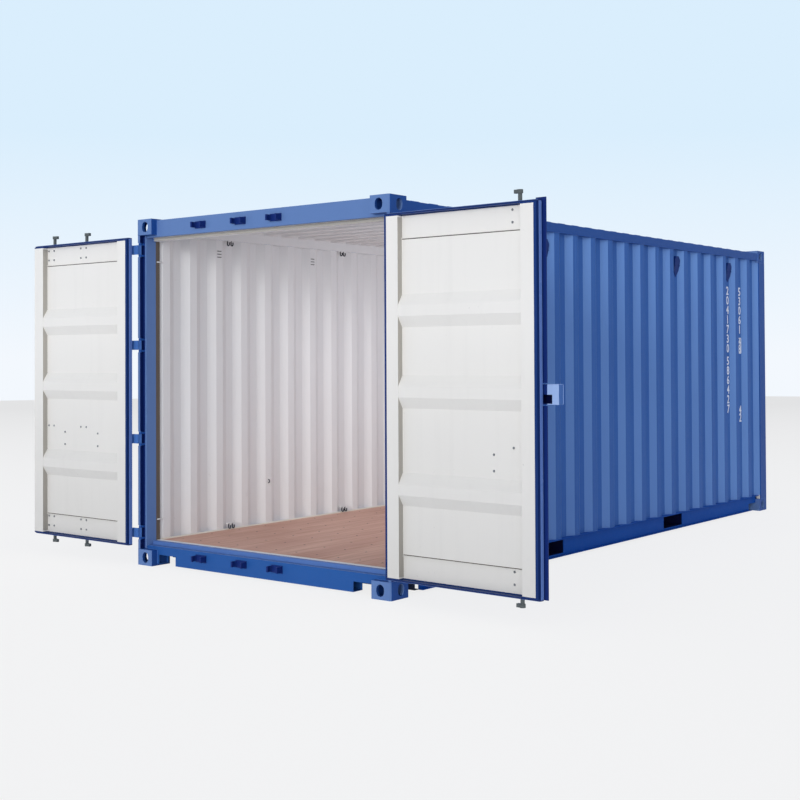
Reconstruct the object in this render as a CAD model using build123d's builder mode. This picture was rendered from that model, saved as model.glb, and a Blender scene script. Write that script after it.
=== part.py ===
# Twenty-foot steel shipping container with both end doors swung open, in millimetres.
# X runs across the door end, Y from the door end to the closed end, Z up.
# The origin is the outer bottom corner of the left corner fitting at the door end.
from build123d import *

import math
import os

# Overall size over the corner fittings
width = 2438
length = 6058
height = 2591

# Cuts run this far past the faces they open
overrun = 20

# Corner fittings: hollow castings with one slot in each outward face
fitting_wide = 162
fitting_long = 178
fitting_tall = 118
fitting_seat_wall = 19
fitting_side_wall = 22
fitting_inner_wall = 12
fitting_edge_round = 14
slot_centre_x = 89.5
slot_centre_y = 102.5
seat_slot_long = 124.5
seat_slot_wide = 63.5
side_slot_tall = 79.5
side_slot_wide = 63.5
side_slot_sides = 6

# Door posts: a closed section behind a recess that holds the hinges
post_set_back = 3
post_front = 6
post_lip_wide = 25
post_plate = 6
post_side_plate = 5
post_recess_bottom = 48
post_inner_face = 50
post_rear = 140
post_tail = 178

# Closed-end posts: one bent section each
end_post_deep = 137
end_post_wide = 100
end_post_narrow = 49
end_post_plate = 6
end_post_bevel = 57

# Floor and base
floor_top = 170
floor_thick = 28
floor_sheet_count = 5
floor_joint = 2
floor_side_gap = 2
rail_bottom = 20
rail_top = 158
rail_web_out = 44.5
rail_plate = 4.5
rail_foot_set_back = 9
rail_relief_long = 168
rail_relief_top = 82
cross_member_tall = 122
cross_member_flange = 45
cross_member_plate = 4
cross_member_first = 330
cross_member_count = 19

# Forklift pockets: tunnels through the base, closed below by straps at each side
pocket_spread = 2050
pocket_wide = 360
pocket_bottom = 37
pocket_plate = 5
pocket_strap_long = 220
pocket_strap_thick = 8

# Door sill and header, with a stop behind the closed doors
face_line = 55
stop_line = 112
sill_rear = 150
sill_bottom = 12
sill_front_top = 143
sill_plate = 5
sill_relief_gap = 18
sill_relief_wide = 181
sill_relief_top = 82
header_rear = 160
header_front_drop = 134
header_stop_drop = 158
header_top_drop = 9
header_plate = 5

# Top rails, closed-end header and closed-end sill
top_rail_wide = 60
top_rail_tall = 70
top_rail_drop = 29
top_rail_plate = 4
end_frame_deep = 54
end_sill_plate = 5

# Corrugated sheets
sheet = 2
side_sheet_face = 10
side_pitch = 278
side_crest = 70
side_slope = 68
side_depth = 36
end_sheet_set_back = 10
end_pitch = 250
end_crest = 104
end_slope = 18
end_depth = 45
roof_edge = 6
roof_pitch = 209
roof_rib_wide = 118
roof_rib_high = 20
roof_rib_angle = 34
roof_rib_margin = 72

# Ventilators, in four outer grooves of each side wall
vent_wide = 96
vent_tall = 190
vent_deep = 24
vent_cheek = 16
vent_foot_half = 34
vent_roof_tall = 46
vent_shoulder_tall = 120
vent_crown_half = 26
vent_crown_tall = 34
vent_drop = 152
vent_grooves = (-8, -4, 4, 8)

# Hinges: pins near the outer corner of each door post
pin_x = 20
pin_y = 12
pin_radius = 8
pin_play = 0.3
eye_radius = 11
eye_sides = 8
hinge_low_rise = 83
hinge_pitch = 703
hinge_high_drop = 80
blade_tall = 70
blade_thick = 8
blade_gap = 1
blade_arm = 22
blade_arm_end = 54
blade_neck = 9
blade_pad_long = 84
lug_tall = 14
lug_gap = 1
notch_margin = 3
notch_deep = 24

# Door leaves, measured from the pin: along the leaf, and inward from the pin
left_open_angle = 180.5
right_open_angle = 178.5
leaf_start = 44
leaf_end_gap = 12
leaf_edge_gap = 14
leaf_outer = 43
leaf_inner = 93
stile_wide = 110
stile_plate = 4
rail_member_tall = 152
member_plate = 4
member_lip = 14
panel_outer = 46
panel_rise = 42
panel_crest = 70
panel_slope = 68
panel_ridge_offsets = (-577, 31, 538)
gasket_lip = 9
gasket_start = 48
gasket_deep = 30

# Locking bars: tube, shanks and cams at both ends, guides on the leaf and a flat handle
bar_radius = 17
bar_bore = 13
bar_inward = 15
inner_bar_edge = 161
bar_spread = 408
bar_play = 0.5
bar_bottom = 84
bar_top_drop = 63
bar_tube_overhang = 5
shank_radius = 12
shank_sides = 8
cam_tall = 22
cam_thick = 20
cam_nose = 38
cam_hub_radius = 17
cam_hub_sides = 8
guide_low_rise = 98
guide_middle_height = 1014
guide_high_drop = 78
guide_ring_radius = 25
guide_ring_sides = 8
guide_tall = 40
guide_plate = 6
guide_plate_wide = 96
guide_plate_tall = 104
handle_height = 920
handle_long = 372
handle_thick = 12
handle_tall = 32
handle_hub_radius = 25
handle_hub_sides = 8
handle_hub_tall = 52
catch_offset = 175
catch_wide = 60
catch_plate_tall = 150
catch_shelf = 8
catch_gap = 5

# Cam keepers on the header and the sill
keeper_wide = 104
keeper_tall = 52
keeper_jaw_tall = 40
keeper_plate = 8
keeper_play = 6
keeper_reach = 27
keeper_seat_play = 5

# Overlap strip and lock box on the right leaf, staple on the left leaf
strip_edge = 37
strip_overhang = 33
strip_thick = 6
strip_step = 5
strip_low_drop = 7
strip_high_rise = 25
strip_gap = 8
lock_edge = 82
lock_overhang = 113
lock_outer = -8
lock_bottom = 1272
lock_tall = 116
lock_plate = 5
lock_window_wide = 62
lock_window_tall = 52
lock_window_gap = 5
staple_thick = 10
staple_tall = 34
staple_reach = 36
staple_hole = 7
staple_hole_sides = 12

# Lines worked out from the sizes above
middle_x = width / 2
middle_y = length / 2
floor_bottom = floor_top - floor_thick
rail_web_in = rail_web_out + rail_plate
fitting_ceiling = fitting_tall - fitting_seat_wall
upper_fitting_seat = height - fitting_tall
end_line = length - post_set_back
end_post_start = end_line - end_post_deep
header_front_bottom = height - header_front_drop
header_stop_bottom = height - header_stop_drop
header_top = height - header_top_drop
top_rail_top = height - top_rail_drop
top_rail_bottom = top_rail_top - top_rail_tall
vent_centre_z = top_rail_bottom - vent_drop
leaf_end = middle_x - pin_x - leaf_end_gap
leaf_bottom = sill_front_top + leaf_edge_gap
leaf_top = header_front_bottom - leaf_edge_gap
hinge_low = leaf_bottom + hinge_low_rise
hinge_heights = (hinge_low, hinge_low + hinge_pitch, hinge_low + 2 * hinge_pitch, leaf_top - hinge_high_drop)
leaf_long = leaf_end - leaf_start
stile_in = leaf_start + stile_wide
stile_out = leaf_end - stile_wide
clear_panel = stile_out - stile_in
panel_bottom = leaf_bottom + rail_member_tall
panel_top = leaf_top - rail_member_tall
panel_ridges = [(panel_bottom + panel_top) / 2 + shift for shift in panel_ridge_offsets]
guide_heights = (leaf_bottom + guide_low_rise, guide_middle_height, leaf_top - guide_high_drop)
inner_bar_along = leaf_end - inner_bar_edge
outer_bar_along = inner_bar_along - bar_spread
bar_y = pin_y + bar_inward
bar_top = height - bar_top_drop
tube_bottom = leaf_bottom - bar_tube_overhang
tube_top = leaf_top + bar_tube_overhang
cam_low = bar_bottom + cam_tall / 2
cam_high = bar_top - cam_tall / 2
jaw_radius = cam_nose + keeper_play
bar_lines_left = (pin_x + outer_bar_along, pin_x + inner_bar_along)
bar_line_right = width - pin_x - inner_bar_along
strip_start = leaf_end - strip_edge
strip_end = leaf_end + strip_overhang
strip_bottom = leaf_bottom - strip_low_drop
strip_top = leaf_top + strip_high_rise
lock_start = leaf_end - lock_edge
lock_end = leaf_end + lock_overhang
staple_along = width - pin_x - (leaf_end + lock_window_gap + lock_window_wide / 2) - pin_x

across = Plane.YZ.offset(middle_x)
along = Plane.XZ.offset(-middle_y)
halfway_up = Plane.XY.offset(height / 2)
os.makedirs("parts", exist_ok=True)


def save(piece, node):
    """Label a finished piece and write its STEP file."""
    piece.part.label = node
    export_step(piece.part, f"parts/{node}.step")


def ridged_line(start, stop, centres, crest, slope, rise):
    """Line of a pressed sheet: flat, with one trapezoid of this rise at each centre."""
    points = [(start, 0)]
    for centre in centres:
        foot = crest / 2 + slope
        points += [(centre - foot, 0), (centre - crest / 2, rise)]
        points += [(centre + crest / 2, rise), (centre + foot, 0)]
    return points + [(stop, 0)]


def spread(count, pitch, middle):
    """Centres of a row of this many ridges about its middle."""
    return [middle + (index - (count - 1) / 2) * pitch for index in range(count)]


def fitted(room, wide, pitch):
    """How many ridges of this width fit in the room at this pitch."""
    return math.floor((room - wide) / pitch) + 1


def cut_fittings():
    """Clear the room of the eight corner fittings from the piece being built."""
    for x in (fitting_wide / 2, width - fitting_wide / 2):
        for y in (fitting_long / 2, length - fitting_long / 2):
            for z in (fitting_tall / 2, height - fitting_tall / 2):
                with Locations((x, y, z)):
                    Box(fitting_wide, fitting_long, fitting_tall, mode=Mode.SUBTRACT)


def flatted_slot(tall, wide, flats):
    """Upright slot whose two rounded ends have this many flats each."""
    turns = [math.pi * index / flats for index in range(flats + 1)]
    upper = [(wide / 2 * math.cos(turn), (tall - wide + wide * math.sin(turn)) / 2) for turn in turns]
    return Polygon(*upper, *[(-x, -z) for x, z in upper], align=None)


# Corner fittings
with BuildPart() as fitting:
    with BuildSketch():
        with Locations((fitting_wide / 2, fitting_long / 2)):
            Rectangle(fitting_wide, fitting_long)
    extrude(amount=fitting_tall)
    outer_edge = fitting.edges().filter_by(Axis.Z).sort_by(lambda edge: edge.center().X + edge.center().Y)[0]
    fillet(outer_edge, radius=fitting_edge_round)
    with BuildSketch(Plane.XY.offset(fitting_seat_wall)):
        with Locations((fitting_side_wall, fitting_side_wall)):
            Rectangle(fitting_wide - fitting_side_wall - fitting_inner_wall,
                      fitting_long - fitting_side_wall - fitting_inner_wall, align=(Align.MIN, Align.MIN))
    extrude(amount=fitting_ceiling - fitting_seat_wall, mode=Mode.SUBTRACT)
    with BuildSketch():
        with Locations((slot_centre_x, slot_centre_y)):
            Circle(seat_slot_long / 2)
            Rectangle(seat_slot_wide, seat_slot_long, mode=Mode.INTERSECT)
    extrude(amount=fitting_seat_wall, mode=Mode.SUBTRACT)
    with BuildSketch(Plane.XZ):
        with Locations((slot_centre_x, fitting_tall / 2)):
            flatted_slot(side_slot_tall, side_slot_wide, side_slot_sides)
    extrude(amount=-fitting_side_wall, mode=Mode.SUBTRACT)
    with BuildSketch(Plane.YZ):
        with Locations((slot_centre_y, fitting_tall / 2)):
            flatted_slot(side_slot_tall, side_slot_wide, side_slot_sides)
    extrude(amount=fitting_side_wall, mode=Mode.SUBTRACT)

with BuildPart() as bottom_corner_fittings:
    add(fitting.part)
    mirror(about=across)
    mirror(about=along)
save(bottom_corner_fittings, "bottom_corner_fittings")

with BuildPart() as top_corner_fittings:
    mirror(bottom_corner_fittings.part, about=halfway_up)
save(top_corner_fittings, "top_corner_fittings")

# Door posts, cut back at each hinge so that the blades can swing round the corner
with BuildPart() as left_door_post:
    with BuildSketch(Plane.XY.offset(fitting_tall)) as post_section:
        with BuildLine():
            Polyline((post_set_back, post_front), (post_lip_wide, post_front),
                     (post_lip_wide, post_front + post_plate),
                     (post_set_back + post_side_plate, post_front + post_plate),
                     (post_set_back + post_side_plate, post_recess_bottom),
                     (post_inner_face, post_recess_bottom), (post_inner_face, post_tail),
                     (post_inner_face - post_plate, post_tail), (post_inner_face - post_plate, post_rear),
                     (post_set_back, post_rear), close=True)
        make_face()
        with BuildLine():
            Polyline((post_set_back + post_side_plate, post_recess_bottom + post_plate),
                     (post_inner_face - post_plate, post_recess_bottom + post_plate),
                     (post_inner_face - post_plate, post_rear - post_plate),
                     (post_set_back + post_side_plate, post_rear - post_plate), close=True)
        make_face(mode=Mode.SUBTRACT)
    extrude(amount=upper_fitting_seat - fitting_tall)
    notch_tall = blade_tall + 2 * (blade_gap + lug_tall + notch_margin)
    for centre in hinge_heights:
        with Locations((0, post_front, centre)):
            Box(2 * post_recess_bottom, 2 * notch_deep, notch_tall, mode=Mode.SUBTRACT)
save(left_door_post, "left_door_post")

with BuildPart() as right_door_post:
    mirror(left_door_post.part, about=across)
save(right_door_post, "right_door_post")

# Hinges on the posts: each pin is welded between its two lugs
with BuildPart() as post_hinges:
    for centre in hinge_heights:
        for side in (-1, 1):
            base = centre + side * (blade_tall / 2 + blade_gap + lug_tall / 2) - lug_tall / 2
            with BuildSketch(Plane.XY.offset(base)):
                with Locations((pin_x, pin_y)):
                    RegularPolygon(eye_radius, eye_sides, major_radius=False, rotation=180 / eye_sides)
                    Rectangle(2 * eye_radius, post_recess_bottom - pin_y, align=(Align.CENTER, Align.MIN))
            extrude(amount=lug_tall)
        with Locations((pin_x, pin_y, centre)):
            Cylinder(pin_radius, blade_tall + 2 * blade_gap)
    mirror(about=across)
save(post_hinges, "post_hinges")

# Closed-end posts
with BuildPart() as left_end_post:
    with BuildSketch(Plane.XY.offset(fitting_tall)):
        with BuildLine():
            Polyline((post_set_back, end_post_start), (end_post_narrow, end_post_start),
                     (end_post_narrow, end_line - end_post_bevel),
                     (end_post_wide, end_line - end_frame_deep), (end_post_wide, end_line),
                     (post_set_back, end_line), close=True)
        make_face()
        offset(amount=-end_post_plate, kind=Kind.INTERSECTION, mode=Mode.SUBTRACT)
    extrude(amount=upper_fitting_seat - fitting_tall)
save(left_end_post, "left_end_post")

with BuildPart() as right_end_post:
    mirror(left_end_post.part, about=across)
save(right_end_post, "right_end_post")

# Door sill, relieved beside both corner fittings
with BuildPart() as door_sill:
    with BuildSketch(Plane.YZ.offset(post_inner_face)):
        with BuildLine():
            Polyline((face_line, sill_bottom), (sill_rear, sill_bottom), (sill_rear, floor_top),
                     (stop_line, floor_top), (stop_line, sill_front_top), (face_line, sill_front_top),
                     close=True)
        make_face()
        offset(amount=-sill_plate, kind=Kind.INTERSECTION, mode=Mode.SUBTRACT)
    extrude(amount=width - 2 * post_inner_face)
    cut_fittings()
    relief_tall = sill_relief_top - sill_bottom
    relief_centre = fitting_wide + sill_relief_gap + sill_relief_wide / 2
    for x in (relief_centre, width - relief_centre):
        with Locations((x, sill_rear, sill_bottom + relief_tall / 2)):
            Box(sill_relief_wide, 2 * sill_rear, relief_tall, mode=Mode.SUBTRACT)
save(door_sill, "door_sill")

# Door header
with BuildPart() as door_header:
    with BuildSketch(Plane.YZ.offset(post_inner_face)):
        with BuildLine():
            Polyline((face_line, header_front_bottom), (stop_line, header_front_bottom),
                     (stop_line, header_stop_bottom), (header_rear, header_stop_bottom),
                     (header_rear, header_top), (face_line, header_top), close=True)
        make_face()
        offset(amount=-header_plate, kind=Kind.INTERSECTION, mode=Mode.SUBTRACT)
    extrude(amount=width - 2 * post_inner_face)
    cut_fittings()
save(door_header, "door_header")

# Cam keepers: a base plate with two jaws, hollowed round the turning cam
with BuildPart() as cam_keepers:
    for x in (*bar_lines_left, bar_line_right):
        for centre in (cam_low, cam_high):
            with BuildSketch(Plane.XY.offset(centre - keeper_jaw_tall / 2)):
                with Locations((x, face_line - keeper_plate)):
                    Rectangle(keeper_wide, face_line - keeper_plate - bar_y + keeper_reach,
                              align=(Align.CENTER, Align.MAX))
                with Locations((x, bar_y)):
                    Circle(jaw_radius, mode=Mode.SUBTRACT)
                    Rectangle(2 * (jaw_radius - keeper_play), 2 * jaw_radius, mode=Mode.SUBTRACT,
                              align=(Align.CENTER, Align.MAX))
            extrude(amount=keeper_jaw_tall)
            with Locations((x, face_line - keeper_plate / 2, centre)):
                Box(keeper_wide, keeper_plate, keeper_tall)
            with Locations((x, bar_y, centre)):
                Cylinder(cam_hub_radius + keeper_seat_play, keeper_tall, mode=Mode.SUBTRACT)
save(cam_keepers, "cam_keepers")

# Bottom side rails: channels open outward, cut for the pockets and relieved at both ends
with BuildPart() as left_bottom_rail:
    with BuildSketch(Plane.XZ.offset(-fitting_long)):
        with BuildLine():
            Polyline((post_set_back, rail_top), (rail_web_in, rail_top), (rail_web_in, rail_bottom),
                     (rail_foot_set_back, rail_bottom), (rail_foot_set_back, rail_bottom + rail_plate),
                     (rail_web_out, rail_bottom + rail_plate), (rail_web_out, rail_top - rail_plate),
                     (post_set_back, rail_top - rail_plate), close=True)
        make_face()
    extrude(amount=-(length - 2 * fitting_long))
    pocket_top = floor_bottom - pocket_plate
    for y in spread(2, pocket_spread, middle_y):
        with Locations((rail_web_in, y, (pocket_bottom + pocket_top) / 2)):
            Box(2 * rail_web_in, pocket_wide, pocket_top - pocket_bottom, mode=Mode.SUBTRACT)
    relief_y = fitting_long + rail_relief_long / 2
    for y in (relief_y, length - relief_y):
        with Locations((rail_web_in, y, rail_relief_top / 2)):
            Box(2 * rail_web_in, rail_relief_long, rail_relief_top, mode=Mode.SUBTRACT)
save(left_bottom_rail, "left_bottom_rail")

with BuildPart() as right_bottom_rail:
    mirror(left_bottom_rail.part, about=across)
save(right_bottom_rail, "right_bottom_rail")

# Closed-end sill and header
with BuildPart() as end_sill:
    with BuildSketch(Plane.YZ.offset(fitting_wide)):
        with BuildLine():
            Polyline((end_line - end_frame_deep, rail_top), (end_line, rail_top), (end_line, rail_bottom),
                     (end_line - end_frame_deep, rail_bottom),
                     (end_line - end_frame_deep, rail_bottom + end_sill_plate),
                     (end_line - end_sill_plate, rail_bottom + end_sill_plate),
                     (end_line - end_sill_plate, rail_top - end_sill_plate),
                     (end_line - end_frame_deep, rail_top - end_sill_plate), close=True)
        make_face()
    extrude(amount=width - 2 * fitting_wide)
save(end_sill, "end_sill")

with BuildPart() as end_header:
    with BuildSketch(Plane.YZ.offset(fitting_wide)):
        with Locations((end_line - top_rail_wide / 2, (top_rail_bottom + top_rail_top) / 2)):
            Rectangle(top_rail_wide, top_rail_top - top_rail_bottom)
        offset(amount=-top_rail_plate, kind=Kind.INTERSECTION, mode=Mode.SUBTRACT)
    extrude(amount=width - 2 * fitting_wide)
save(end_header, "end_header")

# Top side rails
with BuildPart() as left_top_rail:
    with BuildSketch(Plane.XZ.offset(-fitting_long)):
        with Locations((post_set_back + top_rail_wide / 2, (top_rail_bottom + top_rail_top) / 2)):
            Rectangle(top_rail_wide, top_rail_top - top_rail_bottom)
        offset(amount=-top_rail_plate, kind=Kind.INTERSECTION, mode=Mode.SUBTRACT)
    extrude(amount=-(length - 2 * fitting_long))
save(left_top_rail, "left_top_rail")

with BuildPart() as right_top_rail:
    mirror(left_top_rail.part, about=across)
save(right_top_rail, "right_top_rail")

# Corrugated side walls
with BuildPart() as left_wall:
    side_ridges = fitted(end_post_start - post_rear, side_crest + 2 * side_slope, side_pitch)
    side_line = ridged_line(post_rear, end_post_start, spread(side_ridges, side_pitch, middle_y),
                            side_crest, side_slope, side_depth)
    with BuildSketch(Plane.XY.offset(rail_top)):
        with BuildLine():
            Polyline(*[(side_sheet_face + rise, y) for y, rise in side_line],
                     *[(side_sheet_face + rise + sheet, y) for y, rise in reversed(side_line)], close=True)
        make_face()
    extrude(amount=top_rail_bottom - rail_top)
    cut_fittings()
save(left_wall, "left_wall")

with BuildPart() as right_wall:
    mirror(left_wall.part, about=across)
save(right_wall, "right_wall")

# Corrugated closed-end wall
with BuildPart() as end_wall:
    end_ridges = fitted(width - 2 * end_post_wide, end_crest + 2 * end_slope, end_pitch)
    end_sheet_line = ridged_line(end_post_wide, width - end_post_wide,
                                 spread(end_ridges, end_pitch, middle_x), end_crest, end_slope, end_depth)
    end_face = end_line - end_sheet_set_back
    with BuildSketch(Plane.XY.offset(rail_top)):
        with BuildLine():
            Polyline(*[(x, end_face - rise) for x, rise in end_sheet_line],
                     *[(x, end_face - rise + sheet) for x, rise in reversed(end_sheet_line)], close=True)
        make_face()
    extrude(amount=top_rail_bottom - rail_top)
    cut_fittings()
save(end_wall, "end_wall")

# Roof: one sheet with pressed ribs that taper down before the side rails
with BuildPart() as roof:
    roof_wide = width - 2 * roof_edge
    roof_start = header_rear
    roof_long = end_line - roof_edge - roof_start
    roof_middle = roof_start + roof_long / 2
    with BuildSketch(Plane.XY.offset(top_rail_top)):
        with Locations((middle_x, roof_middle)):
            Rectangle(roof_wide, roof_long)
    extrude(amount=sheet)
    roof_ribs = fitted(roof_long - 2 * roof_rib_margin, roof_rib_wide, roof_pitch)
    rib_rows = [(middle_x, y) for y in spread(roof_ribs, roof_pitch, roof_middle)]
    with BuildSketch(Plane.XY.offset(top_rail_top + sheet)):
        with Locations(*rib_rows):
            Rectangle(roof_wide - 2 * roof_rib_margin, roof_rib_wide)
    extrude(amount=roof_rib_high, taper=roof_rib_angle)
    with BuildSketch(Plane.XY.offset(top_rail_top)):
        with Locations(*rib_rows):
            Rectangle(roof_wide - 2 * roof_rib_margin, roof_rib_wide)
    extrude(amount=roof_rib_high, taper=roof_rib_angle, mode=Mode.SUBTRACT)
    cut_fittings()
save(roof, "roof")

# Floor sheets on cross members
with BuildPart() as floor:
    floor_start = sill_rear
    floor_end = end_line - end_post_bevel - floor_side_gap
    sheet_long = (floor_end - floor_start + floor_joint) / floor_sheet_count - floor_joint
    floor_wide = width - 2 * (rail_web_in + floor_side_gap)
    with BuildSketch(Plane.XY.offset(floor_bottom)):
        for y in spread(floor_sheet_count, sheet_long + floor_joint, (floor_start + floor_end) / 2):
            with Locations((middle_x, y)):
                Rectangle(floor_wide, sheet_long)
    extrude(amount=floor_thick)
    cut_fittings()
save(floor, "floor")

with BuildPart() as cross_members:
    member_wide = width - 2 * rail_web_in
    member_pitch = (length - 2 * cross_member_first) / (cross_member_count - 1)
    pocket_half = pocket_wide / 2 + pocket_plate + cross_member_flange
    for y in spread(cross_member_count, member_pitch, middle_y):
        if all(abs(y - pocket) > pocket_half for pocket in spread(2, pocket_spread, middle_y)):
            with BuildSketch(Plane.YZ.offset(rail_web_in)):
                with Locations((y, floor_bottom)):
                    Rectangle(cross_member_flange, cross_member_tall, align=(Align.CENTER, Align.MAX))
                with Locations((y + cross_member_plate, floor_bottom - cross_member_plate)):
                    Rectangle(cross_member_flange, cross_member_tall - 2 * cross_member_plate,
                              align=(Align.CENTER, Align.MAX), mode=Mode.SUBTRACT)
            extrude(amount=member_wide)
save(cross_members, "cross_members")

# Forklift pockets
with BuildPart() as forklift_pockets:
    for y in spread(2, pocket_spread, middle_y):
        with BuildSketch(Plane.YZ.offset(rail_web_in)):
            with Locations((y, rail_bottom)):
                Rectangle(pocket_wide + 2 * pocket_plate, floor_bottom - rail_bottom,
                          align=(Align.CENTER, Align.MIN))
                Rectangle(pocket_wide, floor_bottom - rail_bottom - pocket_plate,
                          align=(Align.CENTER, Align.MIN), mode=Mode.SUBTRACT)
        extrude(amount=member_wide)
        strap_centre = rail_web_in + pocket_strap_long / 2
        for x in (strap_centre, width - strap_centre):
            with Locations((x, y, pocket_bottom - pocket_strap_thick / 2)):
                Box(pocket_strap_long, pocket_wide, pocket_strap_thick)
save(forklift_pockets, "forklift_pockets")

# Ventilators: hoods with sloping cheeks, a narrow crown and a pointed foot, seated in the outer grooves
with BuildPart() as ventilator:
    with BuildSketch(Plane.XY.offset(vent_centre_z - vent_tall / 2)):
        with BuildLine():
            groove_floor = side_sheet_face + side_depth
            Polyline((groove_floor, -vent_foot_half), (groove_floor, vent_foot_half),
                     (groove_floor - vent_cheek, vent_wide / 2), (groove_floor - vent_deep, vent_wide / 2),
                     (groove_floor - vent_deep, -vent_wide / 2), (groove_floor - vent_cheek, -vent_wide / 2),
                     close=True)
        make_face()
    extrude(amount=vent_tall)
    vent_foot = vent_centre_z - vent_tall / 2
    vent_head = vent_centre_z + vent_tall / 2
    with BuildSketch(Plane.XZ):
        with BuildLine():
            Polyline((groove_floor, vent_foot), (groove_floor, vent_head),
                     (groove_floor - vent_deep, vent_head),
                     (groove_floor - vent_deep, vent_head - vent_roof_tall), close=True)
        make_face()
    extrude(amount=vent_wide, both=True, mode=Mode.INTERSECT)
    with BuildSketch(Plane.YZ):
        with BuildLine():
            Polyline((-vent_crown_half, vent_head), (vent_crown_half, vent_head),
                     (vent_wide / 2, vent_head - vent_crown_tall),
                     (vent_wide / 2, vent_head - vent_shoulder_tall), (0, vent_foot),
                     (-vent_wide / 2, vent_head - vent_shoulder_tall),
                     (-vent_wide / 2, vent_head - vent_crown_tall), close=True)
        make_face()
    extrude(amount=2 * groove_floor, mode=Mode.INTERSECT)

with BuildPart() as left_ventilators:
    with Locations(*[(0, middle_y + index * side_pitch, 0) for index in vent_grooves]):
        add(ventilator.part)
save(left_ventilators, "left_ventilators")

with BuildPart() as right_ventilators:
    mirror(left_ventilators.part, about=across)
save(right_ventilators, "right_ventilators")


def leaf_place(hand, opened):
    """Plane of an opened leaf: x along it from the pin, z up. Hand is 1 on the left, -1 on the right."""
    swing = math.radians(opened)
    pin = (pin_x, pin_y) if hand > 0 else (width - pin_x, pin_y)
    return Plane(origin=(*pin, 0), x_dir=(hand * math.cos(swing), -math.sin(swing), 0), z_dir=(0, 0, 1))


def slice_at(place, reach):
    """Plane across the leaf at this distance from the pin: x is the leaf's own y, y is up."""
    return Plane(origin=place.from_local_coords((reach, 0, 0)), x_dir=place.y_dir, z_dir=place.x_dir)


def sheet_at(place, depth):
    """Plane of the leaf's own face at this depth: x along the leaf, y up."""
    return Plane(origin=place.from_local_coords((0, depth, 0)), x_dir=place.x_dir, z_dir=-place.y_dir)


def door_frame(place, hand):
    """Two hollow stiles with a channel between them at the top and at the bottom."""
    with BuildPart() as frame:
        with BuildSketch(place.offset(leaf_bottom)):
            for start in (leaf_start, stile_out):
                with Locations((start + stile_wide / 2, hand * (leaf_outer + leaf_inner) / 2)):
                    Rectangle(stile_wide, leaf_inner - leaf_outer)
                    Rectangle(stile_wide - 2 * stile_plate, leaf_inner - leaf_outer - 2 * stile_plate,
                              mode=Mode.SUBTRACT)
        extrude(amount=leaf_top - leaf_bottom)
        for edge, inward in ((leaf_bottom, 1), (leaf_top, -1)):
            with BuildSketch(slice_at(place, stile_in)):
                with BuildLine():
                    far = edge + inward * rail_member_tall
                    Polyline(*[(hand * depth, z) for depth, z in (
                        (leaf_outer, edge), (leaf_inner, edge), (leaf_inner, edge + inward * member_plate),
                        (leaf_outer + member_plate, edge + inward * member_plate),
                        (leaf_outer + member_plate, far - inward * member_plate),
                        (leaf_outer + member_lip, far - inward * member_plate),
                        (leaf_outer + member_lip, far), (leaf_outer, far))], close=True)
                make_face()
            extrude(amount=clear_panel)
    return frame


def door_panel(place, hand):
    """Pressed sheet between the stiles, with its ribs toward the inside."""
    line = ridged_line(panel_bottom, panel_top, panel_ridges, panel_crest, panel_slope, panel_rise)
    with BuildPart() as panel:
        with BuildSketch(slice_at(place, stile_in)):
            with BuildLine():
                Polyline(*[(hand * (panel_outer + rise), z) for z, rise in line],
                         *[(hand * (panel_outer + rise + sheet), z) for z, rise in reversed(line)],
                         close=True)
            make_face()
        extrude(amount=clear_panel)
    return panel


def door_gasket(place, hand):
    """Seal round the four edges of a leaf."""
    with BuildPart() as gasket:
        with BuildSketch(sheet_at(place, hand * gasket_start)):
            with Locations(((leaf_start + leaf_end) / 2, (leaf_bottom + leaf_top) / 2)):
                Rectangle(leaf_long + 2 * gasket_lip, leaf_top - leaf_bottom + 2 * gasket_lip)
                Rectangle(leaf_long, leaf_top - leaf_bottom, mode=Mode.SUBTRACT)
        extrude(amount=-hand * gasket_deep)
    return gasket


def hinge_blades(place, hand):
    """Cranked blades from the pins to the outer face of a leaf."""
    with BuildPart() as blades:
        for centre in hinge_heights:
            with BuildSketch(place.offset(centre - blade_tall / 2)):
                RegularPolygon(eye_radius, eye_sides, major_radius=False, rotation=180 / eye_sides)
                with BuildLine():
                    arm_out = blade_arm + blade_thick
                    Polyline(*[(reach, hand * depth) for reach, depth in (
                        (-blade_neck, 0), (-blade_neck, arm_out), (blade_arm_end - blade_thick, arm_out),
                        (blade_arm_end - blade_thick, leaf_outer),
                        (blade_arm_end + blade_pad_long, leaf_outer),
                        (blade_arm_end + blade_pad_long, leaf_outer - blade_thick),
                        (blade_arm_end, leaf_outer - blade_thick), (blade_arm_end, blade_arm),
                        (blade_neck, blade_arm), (blade_neck, 0))], close=True)
                make_face()
                Circle(pin_radius + pin_play, mode=Mode.SUBTRACT)
            extrude(amount=blade_tall)
    return blades


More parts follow.
